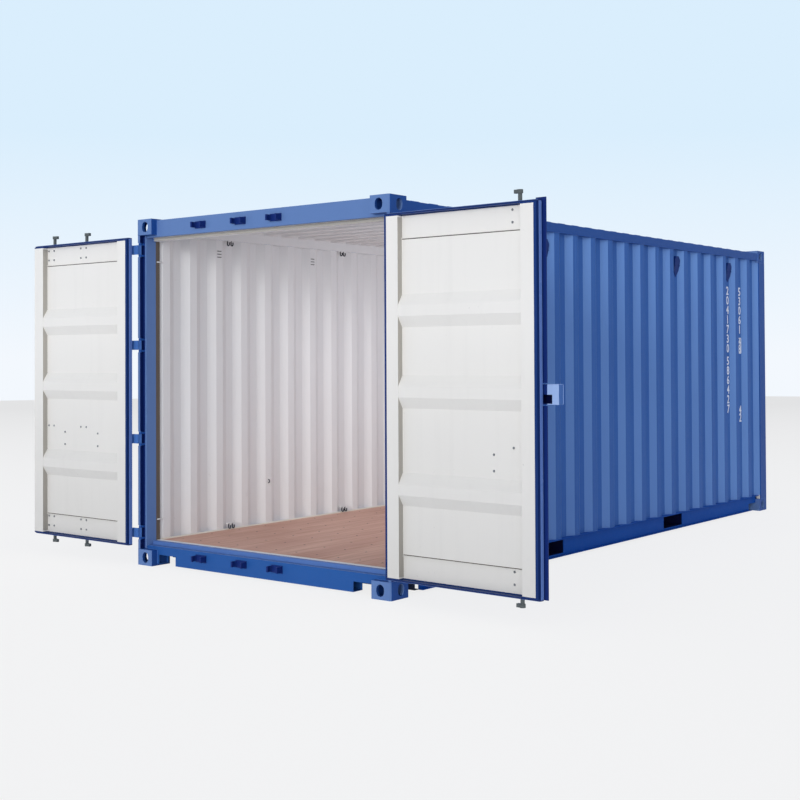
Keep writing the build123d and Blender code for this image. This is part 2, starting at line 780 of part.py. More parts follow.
def bar_guides(place, hand, bars):
    """Guides that carry the locking bars, and the shelf that each stowed handle rests on."""
    with BuildPart() as guides:
        for reach in bars:
            for centre in guide_heights:
                seat = panel_outer if panel_bottom < centre < panel_top else leaf_outer
                back = seat - guide_plate
                with BuildSketch(place.offset(centre - guide_tall / 2)):
                    with Locations((reach, hand * bar_inward)):
                        RegularPolygon(guide_ring_radius, guide_ring_sides, major_radius=False,
                                       rotation=180 / guide_ring_sides)
                    with Locations((reach, hand * (bar_inward + back) / 2)):
                        Rectangle(2 * guide_ring_radius, back - bar_inward)
                    with Locations((reach, hand * bar_inward)):
                        Circle(bar_radius + bar_play, mode=Mode.SUBTRACT)
                extrude(amount=guide_tall)
                with BuildSketch(sheet_at(place, hand * back)):
                    with Locations((reach, centre)):
                        Rectangle(guide_plate_wide, guide_plate_tall)
                extrude(amount=-hand * guide_plate)
            back = panel_outer - guide_plate
            with BuildSketch(sheet_at(place, hand * back)):
                with Locations((reach - catch_offset, handle_height)):
                    Rectangle(catch_wide, catch_plate_tall)
            extrude(amount=-hand * guide_plate)
            shelf_top = handle_height - handle_tall / 2 - catch_gap
            shelf_deep = back - bar_inward + handle_thick
            with BuildSketch(place.offset(shelf_top - catch_shelf)):
                with Locations((reach - catch_offset, hand * (back - shelf_deep / 2))):
                    Rectangle(catch_wide, shelf_deep)
            extrude(amount=catch_shelf)
    return guides


def locking_bar(place, hand, reach):
    """Tube closed at both ends by a narrow shank that ends in a cam with a straight nose."""
    with BuildPart() as bar:
        with BuildSketch(place.offset(tube_bottom)):
            with Locations((reach, hand * bar_inward)):
                Circle(bar_radius)
        extrude(amount=tube_top - tube_bottom)
        with BuildSketch(place.offset(tube_bottom + bar_tube_overhang)):
            with Locations((reach, hand * bar_inward)):
                Circle(bar_bore)
        extrude(amount=tube_top - tube_bottom - 2 * bar_tube_overhang, mode=Mode.SUBTRACT)
        for low, high in ((bar_bottom, tube_bottom), (tube_top, bar_top)):
            with BuildSketch(place.offset(low)):
                with Locations((reach, hand * bar_inward)):
                    RegularPolygon(shank_radius, shank_sides, major_radius=False, rotation=180 / shank_sides)
            extrude(amount=high - low)
        for low in (bar_bottom, bar_top - cam_tall):
            with BuildSketch(place.offset(low)):
                with Locations((reach, hand * bar_inward)):
                    RegularPolygon(cam_hub_radius, cam_hub_sides, major_radius=False,
                                   rotation=180 / cam_hub_sides)
                with Locations((reach - cam_nose / 2, hand * bar_inward)):
                    Rectangle(cam_nose, cam_thick)
            extrude(amount=cam_tall)
    return bar


def bar_handle(place, hand, reach):
    """Flat handle on a hub that grips its bar."""
    with BuildPart() as handle:
        with BuildSketch(place.offset(handle_height - handle_hub_tall / 2)):
            with Locations((reach, hand * bar_inward)):
                RegularPolygon(handle_hub_radius, handle_hub_sides, major_radius=False,
                               rotation=180 / handle_hub_sides)
        extrude(amount=handle_hub_tall)
        with BuildSketch(place.offset(handle_height - handle_tall / 2)):
            with Locations((reach - handle_long / 2, hand * bar_inward)):
                Rectangle(handle_long, handle_thick)
        extrude(amount=handle_tall)
        with BuildSketch(place.offset(handle_height - handle_hub_tall)):
            with Locations((reach, hand * bar_inward)):
                Circle(bar_radius)
        extrude(amount=2 * handle_hub_tall, mode=Mode.SUBTRACT)
    return handle


# The two leaves with their hinges, guides, bars and handles
door_sets = (
    ("left", 1, left_open_angle, (("outer", outer_bar_along), ("inner", inner_bar_along))),
    ("right", -1, right_open_angle, (("inner", inner_bar_along),)),
)
for name, hand, opened, bars in door_sets:
    place = leaf_place(hand, opened)
    save(door_frame(place, hand), f"{name}_door_frame")
    save(door_panel(place, hand), f"{name}_door_panel")
    save(door_gasket(place, hand), f"{name}_door_gasket")
    save(hinge_blades(place, hand), f"{name}_hinge_blades")
    save(bar_guides(place, hand, [reach for _, reach in bars]), f"{name}_bar_guides")
    for row, reach in bars:
        save(locking_bar(place, hand, reach), f"{name}_{row}_locking_bar")
        save(bar_handle(place, hand, reach), f"{name}_{row}_handle")

# Overlap strip on the right leaf, in two lengths with the lock box between them
right_place = leaf_place(-1, right_open_angle)
with BuildPart() as overlap_strip:
    strip_inner = leaf_outer - strip_step
    lock_top = lock_bottom + lock_tall
    for low, high in ((strip_bottom, lock_bottom - strip_gap), (lock_top + strip_gap, strip_top)):
        with BuildSketch(right_place.offset(low)):
            with Locations(((strip_start + strip_end) / 2, strip_thick / 2 - strip_inner)):
                Rectangle(strip_end - strip_start, strip_thick)
        extrude(amount=high - low)
        base_low, base_high = max(low, leaf_bottom), min(high, leaf_top)
        with BuildSketch(right_place.offset(base_low)):
            with Locations(((strip_start + leaf_end) / 2, -(strip_inner + leaf_outer) / 2)):
                Rectangle(leaf_end - strip_start, strip_step)
        extrude(amount=base_high - base_low)
save(overlap_strip, "overlap_strip")

# Lock box: open below, with a window in the back of its overhang
with BuildPart() as lock_box:
    lock_back = leaf_outer - strip_step
    with BuildSketch(right_place.offset(lock_bottom)):
        with Locations(((lock_start + lock_end) / 2, -(lock_outer + lock_back) / 2)):
            Rectangle(lock_end - lock_start, lock_back - lock_outer)
        with Locations(((lock_start + leaf_end) / 2, -(lock_back + leaf_outer) / 2)):
            Rectangle(leaf_end - lock_start, leaf_outer - lock_back)
    extrude(amount=lock_tall)
    with BuildSketch(right_place.offset(lock_bottom)):
        with Locations(((lock_start + lock_end) / 2, -(lock_outer + lock_back) / 2)):
            Rectangle(lock_end - lock_start - 2 * lock_plate, lock_back - lock_outer - 2 * lock_plate)
    extrude(amount=lock_tall - lock_plate, mode=Mode.SUBTRACT)
    with BuildSketch(sheet_at(right_place, -lock_back + lock_plate)):
        with Locations((leaf_end + lock_window_gap, lock_bottom + lock_window_gap)):
            Rectangle(lock_window_wide, lock_window_tall, align=(Align.MIN, Align.MIN))
    extrude(amount=lock_plate + overrun, mode=Mode.SUBTRACT)
save(lock_box, "lock_box")

# Staple: an upright plate with a padlock hole on the left leaf
left_place = leaf_place(1, left_open_angle)
with BuildPart() as lock_staple:
    with BuildSketch(slice_at(left_place, staple_along - staple_thick / 2)):
        window_middle = lock_bottom + lock_window_gap + lock_window_tall / 2
        with Locations((leaf_outer - staple_reach / 2, window_middle)):
            Rectangle(staple_reach, staple_tall)
        with Locations((leaf_outer - staple_reach + staple_tall / 2, window_middle)):
            RegularPolygon(staple_hole, staple_hole_sides, major_radius=False, mode=Mode.SUBTRACT)
    extrude(amount=staple_thick)
save(lock_staple, "lock_staple")
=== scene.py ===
"""Looks of a twenty-foot steel shipping container with both end doors swung open.

The CAD frame gives every main form. This script gives its nodes their paint, rubber and boards, and adds the
small fittings that the frame leaves out: bolts, weld beads, lashing rings, seal ribs, floor screws and marks.
Lengths are in metres, in the frame of the CAD: X across the door end, Y to the closed end, Z up.
"""

import logging
import math
from dataclasses import dataclass, field
from enum import Enum
from typing import Any, Iterable, Sequence

import bpy
import numpy as np
from mathutils import Matrix


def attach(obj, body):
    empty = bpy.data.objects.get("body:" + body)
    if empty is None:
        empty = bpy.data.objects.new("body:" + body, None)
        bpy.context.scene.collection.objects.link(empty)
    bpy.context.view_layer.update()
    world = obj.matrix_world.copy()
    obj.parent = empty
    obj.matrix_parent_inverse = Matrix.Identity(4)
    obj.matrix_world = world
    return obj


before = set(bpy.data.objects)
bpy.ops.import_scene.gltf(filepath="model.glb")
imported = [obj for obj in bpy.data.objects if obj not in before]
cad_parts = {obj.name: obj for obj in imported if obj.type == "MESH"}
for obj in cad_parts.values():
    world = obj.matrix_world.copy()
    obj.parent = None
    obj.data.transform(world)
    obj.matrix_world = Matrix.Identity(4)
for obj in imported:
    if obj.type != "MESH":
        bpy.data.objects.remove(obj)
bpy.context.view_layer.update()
log = logging.getLogger("container")

Colour = tuple[float, float, float, float]
Triple = tuple[float, float, float]
Span = tuple[float | None, float | None]

WIDTH, LENGTH, HEIGHT = 2.438, 6.058, 2.591
FITTING_WIDE, FITTING_LONG, FITTING_TALL = 0.162, 0.178, 0.118
FLOOR_TOP = 0.170
SIDE_PITCH = 0.278
SIDE_FACE, SIDE_DEPTH, SIDE_CREST, SIDE_SLOPE = 0.010, 0.036, 0.070, 0.068
SHEET = 0.002
SHARP_DEGREES = 35.0

ANY: Span = (None, None)
# Turn that brings X to Y, Y to Z and Z to X.
ONWARD = np.array([[0, 0, 1], [1, 0, 0], [0, 1, 0]], float)


def srgb(red: float, green: float, blue: float) -> Colour:
    """Linear colour of an sRGB triple given from 0 to 255.

    Args:
        red: Red channel.
        green: Green channel.
        blue: Blue channel.

    Returns:
        The linear colour with full opacity.
    """
    channels = np.array([red, green, blue]) / 255
    low, high = channels / 12.92, ((channels + 0.055) / 1.055) ** 2.4
    return (*(float(c) for c in np.where(channels <= 0.04045, low, high)), 1.0)


class Body(str, Enum):
    """CAD bodies that pieces ride on."""

    FRAME = "frame"
    LEFT_DOOR = "left_door"
    RIGHT_DOOR = "right_door"
    LEFT_OUTER_BAR = "left_outer_bar"
    LEFT_INNER_BAR = "left_inner_bar"
    RIGHT_BAR = "right_bar"


class Slot(str, Enum):
    """Material slots of the record."""

    FRAME = "frame_paint"
    WALL = "wall_paint"
    DOOR = "door_paint"
    BAR = "bar_paint"
    SEAL = "seal"
    BOARDS = "boards"
    HOOD = "hood"


# Shapes


@dataclass
class Shape:
    """Points and blocks of faces, each block holding faces with the same number of corners."""

    points: np.ndarray
    faces: list[np.ndarray] = field(default_factory=list)

    @staticmethod
    def joined(shapes: Iterable["Shape"]) -> "Shape":
        """All the given shapes as one, with their faces renumbered."""
        points, faces, start = [], [], 0
        for shape in shapes:
            points.append(shape.points)
            faces += [block + start for block in shape.faces]
            start += len(shape.points)
        return Shape(np.concatenate(points), faces)

    def placed(self, turn: np.ndarray, offset: Sequence[float] = (0, 0, 0)) -> "Shape":
        """Every point p becomes turn p + offset."""
        return Shape(self.points @ np.asarray(turn, float).T + np.asarray(offset, float), list(self.faces))

    def repeated(self, places: Sequence[Sequence[float]] | np.ndarray) -> "Shape":
        """One copy at each place.

        Args:
            places: Offsets, one row for each copy.

        Returns:
            The copies as one shape: copy k is the shape's points plus row k.
        """
        places = np.asarray(places, float).reshape(-1, 3)
        count, step = len(places), len(self.points)
        points = (places[:, None, :] + self.points[None]).reshape(-1, 3)
        shifts = np.arange(count)[:, None, None] * step
        return Shape(points, [(block[None] + shifts).reshape(-1, block.shape[1]) for block in self.faces])

    def mirrored(self) -> "Shape":
        """The shape reflected across the container's middle plane, with its faces still pointing outwards."""
        points = self.points * [-1, 1, 1] + [WIDTH, 0, 0]
        return Shape(points, [block[:, ::-1] for block in self.faces])

    def paired(self) -> "Shape":
        """The shape together with its mirror image."""
        return Shape.joined([self, self.mirrored()])


def groove(index: float | np.ndarray) -> Any:
    """Place in Y of a side wall's groove, counted from the middle one: length / 2 + index pitch."""
    return LENGTH / 2 + index * SIDE_PITCH


def grid_faces(rows: int, columns: int, wrap_rows: bool = False, wrap_columns: bool = True) -> np.ndarray:
    """Quads between neighbouring points of a grid numbered row by row.

    Args:
        rows: Number of rows.
        columns: Number of columns.
        wrap_rows: Whether the last row joins the first.
        wrap_columns: Whether the last column joins the first.

    Returns:
        Array of quads.
    """
    row = np.arange(rows if wrap_rows else rows - 1)
    column = np.arange(columns if wrap_columns else columns - 1)
    row, column = (a.ravel() for a in np.meshgrid(row, column, indexing="ij"))
    next_row, next_column = (row + 1) % rows, (column + 1) % columns
    return np.stack([row * columns + column, row * columns + next_column,
                     next_row * columns + next_column, next_row * columns + column], axis=1)


def lathe(profile: Sequence[tuple[float, float]], sides: int = 12) -> Shape:
    """Surface of revolution about Z: the point at profile row i and turn t is (r cos t, r sin t, h).

    Args:
        profile: Rows of radius and height, from the bottom up.
        sides: Number of flats round the axis.

    Returns:
        The surface, closed by one face at each end.
    """
    radius, height = np.array(profile, float).T
    turn = np.linspace(0, 2 * np.pi, sides, endpoint=False)
    points = np.stack([radius[:, None] * np.cos(turn), radius[:, None] * np.sin(turn),
                       np.repeat(height[:, None], sides, 1)], axis=2).reshape(-1, 3)
    top = np.arange(sides)[None] + (len(radius) - 1) * sides
    return Shape(points, [grid_faces(len(radius), sides), np.arange(sides)[None, ::-1], top])


def ring(profile: Sequence[tuple[float, float]], sides: int = 16) -> Shape:
    """Ring about Z: the closed profile of radius and height is carried once round the axis.

    Args:
        profile: Corners of radius and height, counter-clockwise with the radius to the right.
        sides: Number of flats round the axis.

    Returns:
        The closed ring.
    """
    radius, height = np.array(profile, float).T
    turn = np.linspace(0, 2 * np.pi, sides, endpoint=False)[:, None]
    points = np.stack([radius * np.cos(turn), radius * np.sin(turn),
                       np.broadcast_to(height, (sides, len(height)))], axis=2).reshape(-1, 3)
    return Shape(points, [grid_faces(sides, len(radius), wrap_rows=True)[:, ::-1]])


def prism(outline: Sequence[tuple[float, float]], low: float, high: float) -> Shape:
    """Upright prism over a counter-clockwise outline.

    Args:
        outline: Corners in X and Y.
        low: Height of its foot.
        high: Height of its top.

    Returns:
        The closed prism.
    """
    flat = np.array(outline, float)
    count = len(flat)
    points = np.concatenate([np.column_stack([flat, np.full(count, z)]) for z in (low, high)])
    return Shape(points, [grid_faces(2, count), np.arange(count)[None, ::-1], np.arange(count)[None] + count])


def plate(low: Sequence[float], high: Sequence[float], edge: float = 0.0) -> Shape:
    """Flat bar between two corners, its four upright corners cut by the given edge.

    Args:
        low: Lowest corner.
        high: Highest corner.
        edge: Length of the cut at each corner of the outline in X and Y.

    Returns:
        The closed bar.
    """
    (x0, y0, z0), (x1, y1, z1) = low, high
    if edge <= 0:
        return prism([(x0, y0), (x1, y0), (x1, y1), (x0, y1)], z0, z1)
    return prism([(x0 + edge, y0), (x1 - edge, y0), (x1, y0 + edge), (x1, y1 - edge),
                  (x1 - edge, y1), (x0 + edge, y1), (x0, y1 - edge), (x0, y0 + edge)], z0, z1)


def tube(path: np.ndarray, radius: float | np.ndarray, sides: int, across: Sequence[float],
         closed: bool = False) -> Shape:
    """Round tube along a path: the point at step i and turn t is path + r (cos t n + sin t b).

    Args:
        path: Centre line, one row for each step.
        radius: Radius, or one for each step.
        sides: Number of flats round the tube.
        across: Direction that the path stays square to; it gives b, and n is square to b and the path.
        closed: Whether the last step joins the first.

    Returns:
        The tube, closed by a face at each end unless the path is.
    """
    path = np.asarray(path, float)
    if closed:
        run = np.roll(path, -1, 0) - np.roll(path, 1, 0)
    else:
        run = np.gradient(path, axis=0)
    run /= np.linalg.norm(run, axis=1, keepdims=True)
    beside = np.asarray(across, float) / np.linalg.norm(across)
    normal = np.cross(np.broadcast_to(beside, run.shape), run)
    normal /= np.linalg.norm(normal, axis=1, keepdims=True)
    reach = np.broadcast_to(np.asarray(radius, float), (len(path),))[:, None, None]
    turn = np.linspace(0, 2 * np.pi, sides, endpoint=False)[None, :, None]
    points = path[:, None] + reach * (np.cos(turn) * normal[:, None] + np.sin(turn) * np.cross(run, normal)[:, None])
    faces = [grid_faces(len(path), sides, wrap_rows=closed)]
    if not closed:
        faces += [np.arange(sides)[None, ::-1], np.arange(sides)[None] + (len(path) - 1) * sides]
    return Shape(points.reshape(-1, 3), faces)


def bead(start: Sequence[float], end: Sequence[float], radius: float = 0.003, pitch: float = 0.014) -> Shape:
    """Weld bead between two points: a thin tube whose radius ripples as r (0.85 + 0.15 |sin|) along it.

    Args:
        start: First end.
        end: Other end.
        radius: Largest radius.
        pitch: Length of one ripple.

    Returns:
        The closed bead, half of which lies in the plates it joins.
    """
    start, end = np.asarray(start, float), np.asarray(end, float)
    span = float(np.linalg.norm(end - start))
    steps = max(4, 2 * round(span / pitch) + 1)
    share = np.linspace(0, 1, steps)
    path = start + share[:, None] * (end - start)
    swell = radius * (0.85 + 0.15 * np.abs(np.sin(np.pi * share * span / pitch)))
    swell[[0, -1]] *= 0.4
    across = (0, 0, 1) if abs(end[2] - start[2]) < 0.9 * span else (1, 0, 0)
    return tube(path, swell, 6, across)


def seams(lines: Iterable[tuple[Sequence[float], Sequence[float]]], radius: float = 0.003) -> Shape:
    """Weld beads along several lines, as one shape."""
    return Shape.joined(bead(start, end, radius) for start, end in lines)


def bolt_head(radius: float = 0.008, tall: float = 0.005) -> Shape:
    """Domed bolt head on a thin washer, with its axis along Z and its foot a little below zero."""
    return lathe([(radius * 1.25, -0.0005), (radius * 1.25, 0.0012), (radius, 0.0014), (radius * 0.96, tall * 0.55),
                  (radius * 0.7, tall * 0.9), (radius * 0.25, tall)], 10)


def toward(direction: Sequence[float]) -> np.ndarray:
    """Turn that brings Z onto a direction, as a matrix whose third column is that direction."""
    z = np.asarray(direction, float) / np.linalg.norm(direction)
    helper = np.array([0, 0, 1.0]) if abs(z[2]) < 0.9 else np.array([0, 1.0, 0])
    x = np.cross(helper, z)
    x /= np.linalg.norm(x)
    return np.stack([x, np.cross(z, x), z], axis=1)


# Finishes


@dataclass(frozen=True)
class Paint:
    """Sprayed steel finish."""

    name: str
    colour: Colour
    roughness: float = 0.42
    wear: float = 0.25
    dirt: float = 0.2
    # Share of painted shade that darkens the paint toward the ground.
    shade: float = 0.0


@dataclass(frozen=True)
class Metal:
    """Bare or galvanised steel finish."""

    name: str
    colour: Colour
    roughness: float = 0.45
    spangle: float = 40.0


@dataclass(frozen=True)
class Rubber:
    """Moulded seal or plastic finish."""

    name: str
    colour: Colour
    roughness: float = 0.6
    grain: float = 900.0


@dataclass(frozen=True)
class Boards:
    """Worn plywood finish."""

    name: str
    colour: Colour
    dark: Colour
    pale: Colour


BLUE = Paint("blue paint", srgb(68, 110, 178), 0.42, dirt=0.08)
# Lit copy of the blue for the door end's front faces: painted light.
LIT_FRONT_BLUE = Paint("door end blue with painted light", srgb(94, 124, 176), 0.42, dirt=0.08)
RAIL_BLUE = Paint("rail blue paint", srgb(34, 78, 150), 0.45, dirt=0.06)
BASE_BLUE = Paint("base rail blue paint", srgb(12, 78, 164), 0.6, dirt=0.03)
SIDE_BLUE = Paint("side wall blue paint", srgb(54, 100, 172), 0.48, dirt=0.06)
# Lighter blue for the side wall slopes that look toward the door end: painted light.
SLOPE_LIGHT_BLUE = Paint("slope painted light blue", srgb(102, 140, 200), 0.5, dirt=0.06)
SILL_BLUE = Paint("sill blue paint", srgb(38, 86, 154), 0.45, dirt=0.06)
# Navy for parts that lie in shade: painted shade.
NAVY_SHADE = Paint("navy painted shade", srgb(20, 42, 106), 0.42, dirt=0.05)
SHADOW_BLUE = Paint("dark inner paint", srgb(8, 14, 52), 0.6, dirt=0.02)
# Navy for the leaf frame's edges: painted shade.
EDGE_SHADE_BLUE = Paint("leaf edge navy painted shade", srgb(22, 52, 112), 0.42, dirt=0.05)
# Lighter blue for the sill lip's faces that look up and forward: painted light.
SILL_LIGHT_BLUE = Paint("sill lip painted light", srgb(84, 118, 178), 0.42, 0.5)
BAR_BLUE = Paint("blue bar paint", srgb(44, 80, 150), 0.38, 0.45)
UNDER_BLUE = Paint("underside coat", srgb(38, 52, 84), 0.7, 0.1, 0.6)
CREAM = Paint("cream inner paint", srgb(226, 225, 224), 0.5, 0.12, 0.12)
# The door cream's shade darkens it toward the ground: painted shade.
DOOR_CREAM = Paint("cream door paint", srgb(235, 232, 226), 0.45, 0.1, 0.1, 0.22)
SHADE_CREAM = Paint("shaded door paint", srgb(180, 175, 166), 0.6, 0.1, 0.1)
# Dark colour for the open seams and the shade in them: painted shade.
SEAM_SHADE = Paint("open seam", srgb(72, 66, 58), 0.7, 0.1, 0.1)
# Taupe for the hollow behind the door posts: painted shade.
TAUPE_SHADE = Paint("taupe painted shade", srgb(100, 91, 83), 0.7, 0.1, 0.3)
BOX_BLUE = Paint("pale lock box paint", srgb(150, 176, 222), 0.4, 0.2)
MARK_WHITE = Paint("mark paint", srgb(244, 247, 255), 0.55, 0.0, 0.0)
CAM_ZINC = Paint("cam zinc", srgb(92, 98, 98))
ZINC = Metal("galvanised steel", srgb(150, 152, 156))
DARK_STEEL = Metal("dark forged steel", srgb(62, 64, 72), 0.55, 90.0)
SEAL = Rubber("door seal rubber", srgb(16, 38, 92), 0.4)
# Light blue for the seal ribs: painted highlight.
SEAL_RIB_HIGHLIGHT = Rubber("seal rib painted highlight", srgb(92, 122, 186), 0.32)
SLOT_SHADE = Rubber("slot shade", srgb(52, 48, 46), 0.8)
# Hood moulding in dark navy: its own colour darkened with painted shade.
HOOD = Rubber("moulded hood", srgb(8, 44, 112), 0.6, 500.0)
SEALANT = Rubber("cream sealant", srgb(222, 214, 200), 0.55, 200.0)
PLYWOOD = Boards("plywood floor", srgb(204, 158, 140), srgb(172, 122, 102), srgb(222, 184, 166))
RUBBED = srgb(70, 84, 120)


class Web:
    """Short, typed calls for one node tree."""

    def __init__(self, tree: bpy.types.NodeTree) -> None:
        """Keep the tree that the calls add to."""
        self.tree = tree

    def add(self, kind: str, **settings: Any) -> bpy.types.Node:
        """New node of a kind, with its settings."""
        node = self.tree.nodes.new(kind)
        for name, value in settings.items():
            setattr(node, name, value)
        return node

    def feed(self, socket: bpy.types.NodeSocket, value: Any) -> None:
        """Link a socket to another, or give it a value of its own."""
        if isinstance(value, bpy.types.NodeSocket):
            self.tree.links.new(value, socket)
        else:
            socket.default_value = value

    def number(self, operation: str, *values: Any, clamp: bool = False) -> bpy.types.NodeSocket:
        """Result of a maths node on sockets or values."""
        node = self.add("ShaderNodeMath", operation=operation, use_clamp=clamp)
        for socket, value in zip(node.inputs, values):
            self.feed(socket, value)
        return node.outputs[0]

    def product(self, first: Any, *others: Any) -> Any:
        """Product of sockets or values."""
        for other in others:
            first = self.number("MULTIPLY", first, other)
        return first

    def vector(self, operation: str, *values: Any) -> bpy.types.NodeSocket:
        """Result of a vector maths node; a dot product gives its number."""
        node = self.add("ShaderNodeVectorMath", operation=operation)
        for socket, value in zip(node.inputs, values):
            self.feed(socket, value)
        return node.outputs["Value" if operation == "DOT_PRODUCT" else "Vector"]

    def blend(self, share: Any, first: Any, second: Any, kind: str = "MIX") -> bpy.types.NodeSocket:
        """Colour mixed from first to second by a share."""
        node = self.add("ShaderNodeMix", data_type="RGBA", blend_type=kind)
        for name, value in (("Factor_Float", share), ("A_Color", first), ("B_Color", second)):
            self.feed(next(s for s in node.inputs if s.identifier == name), value)
        return next(s for s in node.outputs if s.identifier == "Result_Color")

    def between(self, value: Any, low: float, high: float, to_low: float = 0.0,
                to_high: float = 1.0) -> bpy.types.NodeSocket:
        """A value carried from one range to another and held inside it."""
        node = self.add("ShaderNodeMapRange", clamp=True)
        for socket, number in zip(node.inputs, (value, low, high, to_low, to_high)):
            self.feed(socket, number)
        return node.outputs[0]

    def noise(self, where: Any, scale: float, detail: float = 3.0, rough: float = 0.5) -> bpy.types.NodeSocket:
        """Noise value from about 0.2 to 0.8 at a place."""
        node = self.add("ShaderNodeTexNoise")
        self.feed(node.inputs["Vector"], where)
        for name, value in (("Scale", scale), ("Detail", detail), ("Roughness", rough)):
            self.feed(node.inputs[name], value)
        return node.outputs[0]

    def stretched(self, where: Any, scale: Triple) -> bpy.types.NodeSocket:
        """A place with each of its axes scaled."""
        node = self.add("ShaderNodeMapping")
        self.feed(node.inputs["Vector"], where)
        node.inputs["Scale"].default_value = scale
        return node.outputs[0]

    def bump(self, height: Any, strength: float, distance: float, under: Any = None) -> bpy.types.NodeSocket:
        """Normal bent by a height field."""
        node = self.add("ShaderNodeBump")
        self.feed(node.inputs["Height"], height)
        node.inputs["Strength"].default_value = strength
        node.inputs["Distance"].default_value = distance
        if under is not None:
            self.feed(node.inputs["Normal"], under)
        return node.outputs[0]

    def place(self) -> bpy.types.NodeSocket:
        """Object coordinates."""
        return self.add("ShaderNodeTexCoord").outputs["Object"]

    def facing(self) -> bpy.types.NodeSocket:
        """Surface normal in object space."""
        return self.add("ShaderNodeTexCoord").outputs["Normal"]

    def axis(self, where: Any, name: str) -> bpy.types.NodeSocket:
        """One coordinate of a place, by its letter."""
        node = self.add("ShaderNodeSeparateXYZ")
        self.feed(node.inputs[0], where)
        return node.outputs[name]


class Effects:
    """Node groups shared by the finishes. Each gives a colour, a roughness and a normal."""

    gives = (("Colour", "Color"), ("Roughness", "Float"), ("Normal", "Vector"))

    def __init__(self) -> None:
        """Build the groups once."""
        self.film = self._film()
        self.spangle = self._spangle()
        self.ply = self._ply()

    def _group(self, name: str, colours: Sequence[str], values: Sequence[str] = ()) -> tuple:
        """Empty group with named sockets.

        Args:
            name: Group name.
            colours: Names of the colours it takes.
            values: Names of the numbers it takes.

        Returns:
            The group, its web, its inputs by name and the sockets that its results go to.
        """
        group = bpy.data.node_groups.new(name, "ShaderNodeTree")
        takes = [*((label, "Color") for label in colours), *((label, "Float") for label in values)]
        for direction, sockets in (("INPUT", takes), ("OUTPUT", self.gives)):
            for label, kind in sockets:
                group.interface.new_socket(name=label, in_out=direction, socket_type=f"NodeSocket{kind}")
        web = Web(group)
        return group, web, web.add("NodeGroupInput").outputs, web.add("NodeGroupOutput").inputs

    def _film(self) -> bpy.types.NodeTree:
        """Paint film: slow fading, rain streaks, fine scuffs, painted shade toward the ground, dust near the ground and
        orange peel.
        """
        group, web, given, made = self._group("paint film", ["Colour"], ["Wear", "Dirt", "Shade", "Roughness"])
        where = web.place()
        height = web.axis(where, "Z")
        fade = web.between(web.noise(where, 0.9, 3.0), 0.35, 0.65, 0.0, 0.1)
        colour = web.blend(fade, given["Colour"], (1, 1, 1, 1), "SOFT_LIGHT")
        streak = web.between(web.noise(web.stretched(where, (9.0, 9.0, 0.55)), 1.6, 5.0, 0.6), 0.52, 0.72)
        colour = web.blend(web.product(streak, given["Dirt"], 0.3), colour, srgb(84, 80, 78), "MULTIPLY")
        fine = web.noise(where, 34.0, 8.0, 0.68)
        patch = web.between(web.noise(where, 3.1, 3.0), 0.5, 0.6)
        scuff = web.product(web.between(fine, 0.66, 0.7), patch, given["Wear"])
        colour = web.blend(scuff, colour, srgb(150, 148, 144))
        # Painted shade: darker from 1.7 m down to the ground, by the paint's shade share.
        painted_shade = web.product(web.between(height, 0.1, 1.7, 1.0, 0.0), given["Shade"])
        colour = web.blend(painted_shade, colour, (0.0, 0.0, 0.0, 1.0))
        dust = web.product(web.between(height, 0.0, 0.38, 1.0, 0.0), web.between(fine, 0.4, 0.7), given["Dirt"])
        colour = web.blend(web.product(dust, 0.6), colour, srgb(128, 122, 114))
        web.feed(made["Colour"], colour)
        rough = web.number("ADD", given["Roughness"], web.between(fine, 0.3, 0.7, -0.06, 0.08))
        web.feed(made["Roughness"], web.number("ADD", rough, web.product(dust, 0.3), clamp=True))
        wave = web.bump(web.noise(where, 7.0, 2.0), 0.25, 0.0025)
        web.feed(made["Normal"], web.bump(web.noise(where, 420.0, 2.0), 0.12, 0.0004, wave))
        return group

    def _spangle(self) -> bpy.types.NodeTree:
        """Zinc or forged skin: crystal patches with their own brightness, and a fine pitted bump."""
        group, web, given, made = self._group("metal skin", ["Colour"], ["Scale", "Roughness"])
        where = web.place()
        cells = web.add("ShaderNodeTexVoronoi")
        web.feed(cells.inputs["Vector"], where)
        web.feed(cells.inputs["Scale"], given["Scale"])
        shade = web.axis(cells.outputs["Color"], "X")
        dark = web.between(shade, 0.0, 1.0, 0.0, 0.35)
        web.feed(made["Colour"], web.blend(dark, given["Colour"], (0.02, 0.02, 0.022, 1)))
        web.feed(made["Roughness"], web.number("ADD", given["Roughness"], web.between(shade, 0, 1, -0.1, 0.12)))
        web.feed(made["Normal"], web.bump(web.noise(where, 300.0, 4.0), 0.2, 0.0006))
        return group

    def _ply(self) -> bpy.types.NodeTree:
        """Plywood face: long grain along Y, darker knots and tyre-rubbed patches, with a grain bump."""
        group, web, given, made = self._group("plywood face", ["Colour", "Dark", "Pale"])
        where = web.place()
        grain = web.noise(web.stretched(where, (62.0, 1.7, 20.0)), 1.0, 7.0, 0.62)
        bands = web.noise(web.stretched(where, (7.0, 0.5, 1.0)), 1.0, 4.0, 0.55)
        patch = web.noise(where, 1.1, 4.0)
        colour = web.blend(web.between(bands, 0.35, 0.65), given["Colour"], given["Pale"])
        colour = web.blend(web.between(grain, 0.46, 0.72, 0.0, 0.75), colour, given["Dark"])
        colour = web.blend(web.between(patch, 0.52, 0.75, 0.0, 0.5), colour, given["Dark"])
        web.feed(made["Colour"], colour)
        web.feed(made["Roughness"], web.between(bands, 0.3, 0.7, 0.52, 0.78))
        web.feed(made["Normal"], web.bump(grain, 0.35, 0.0008))
        return group


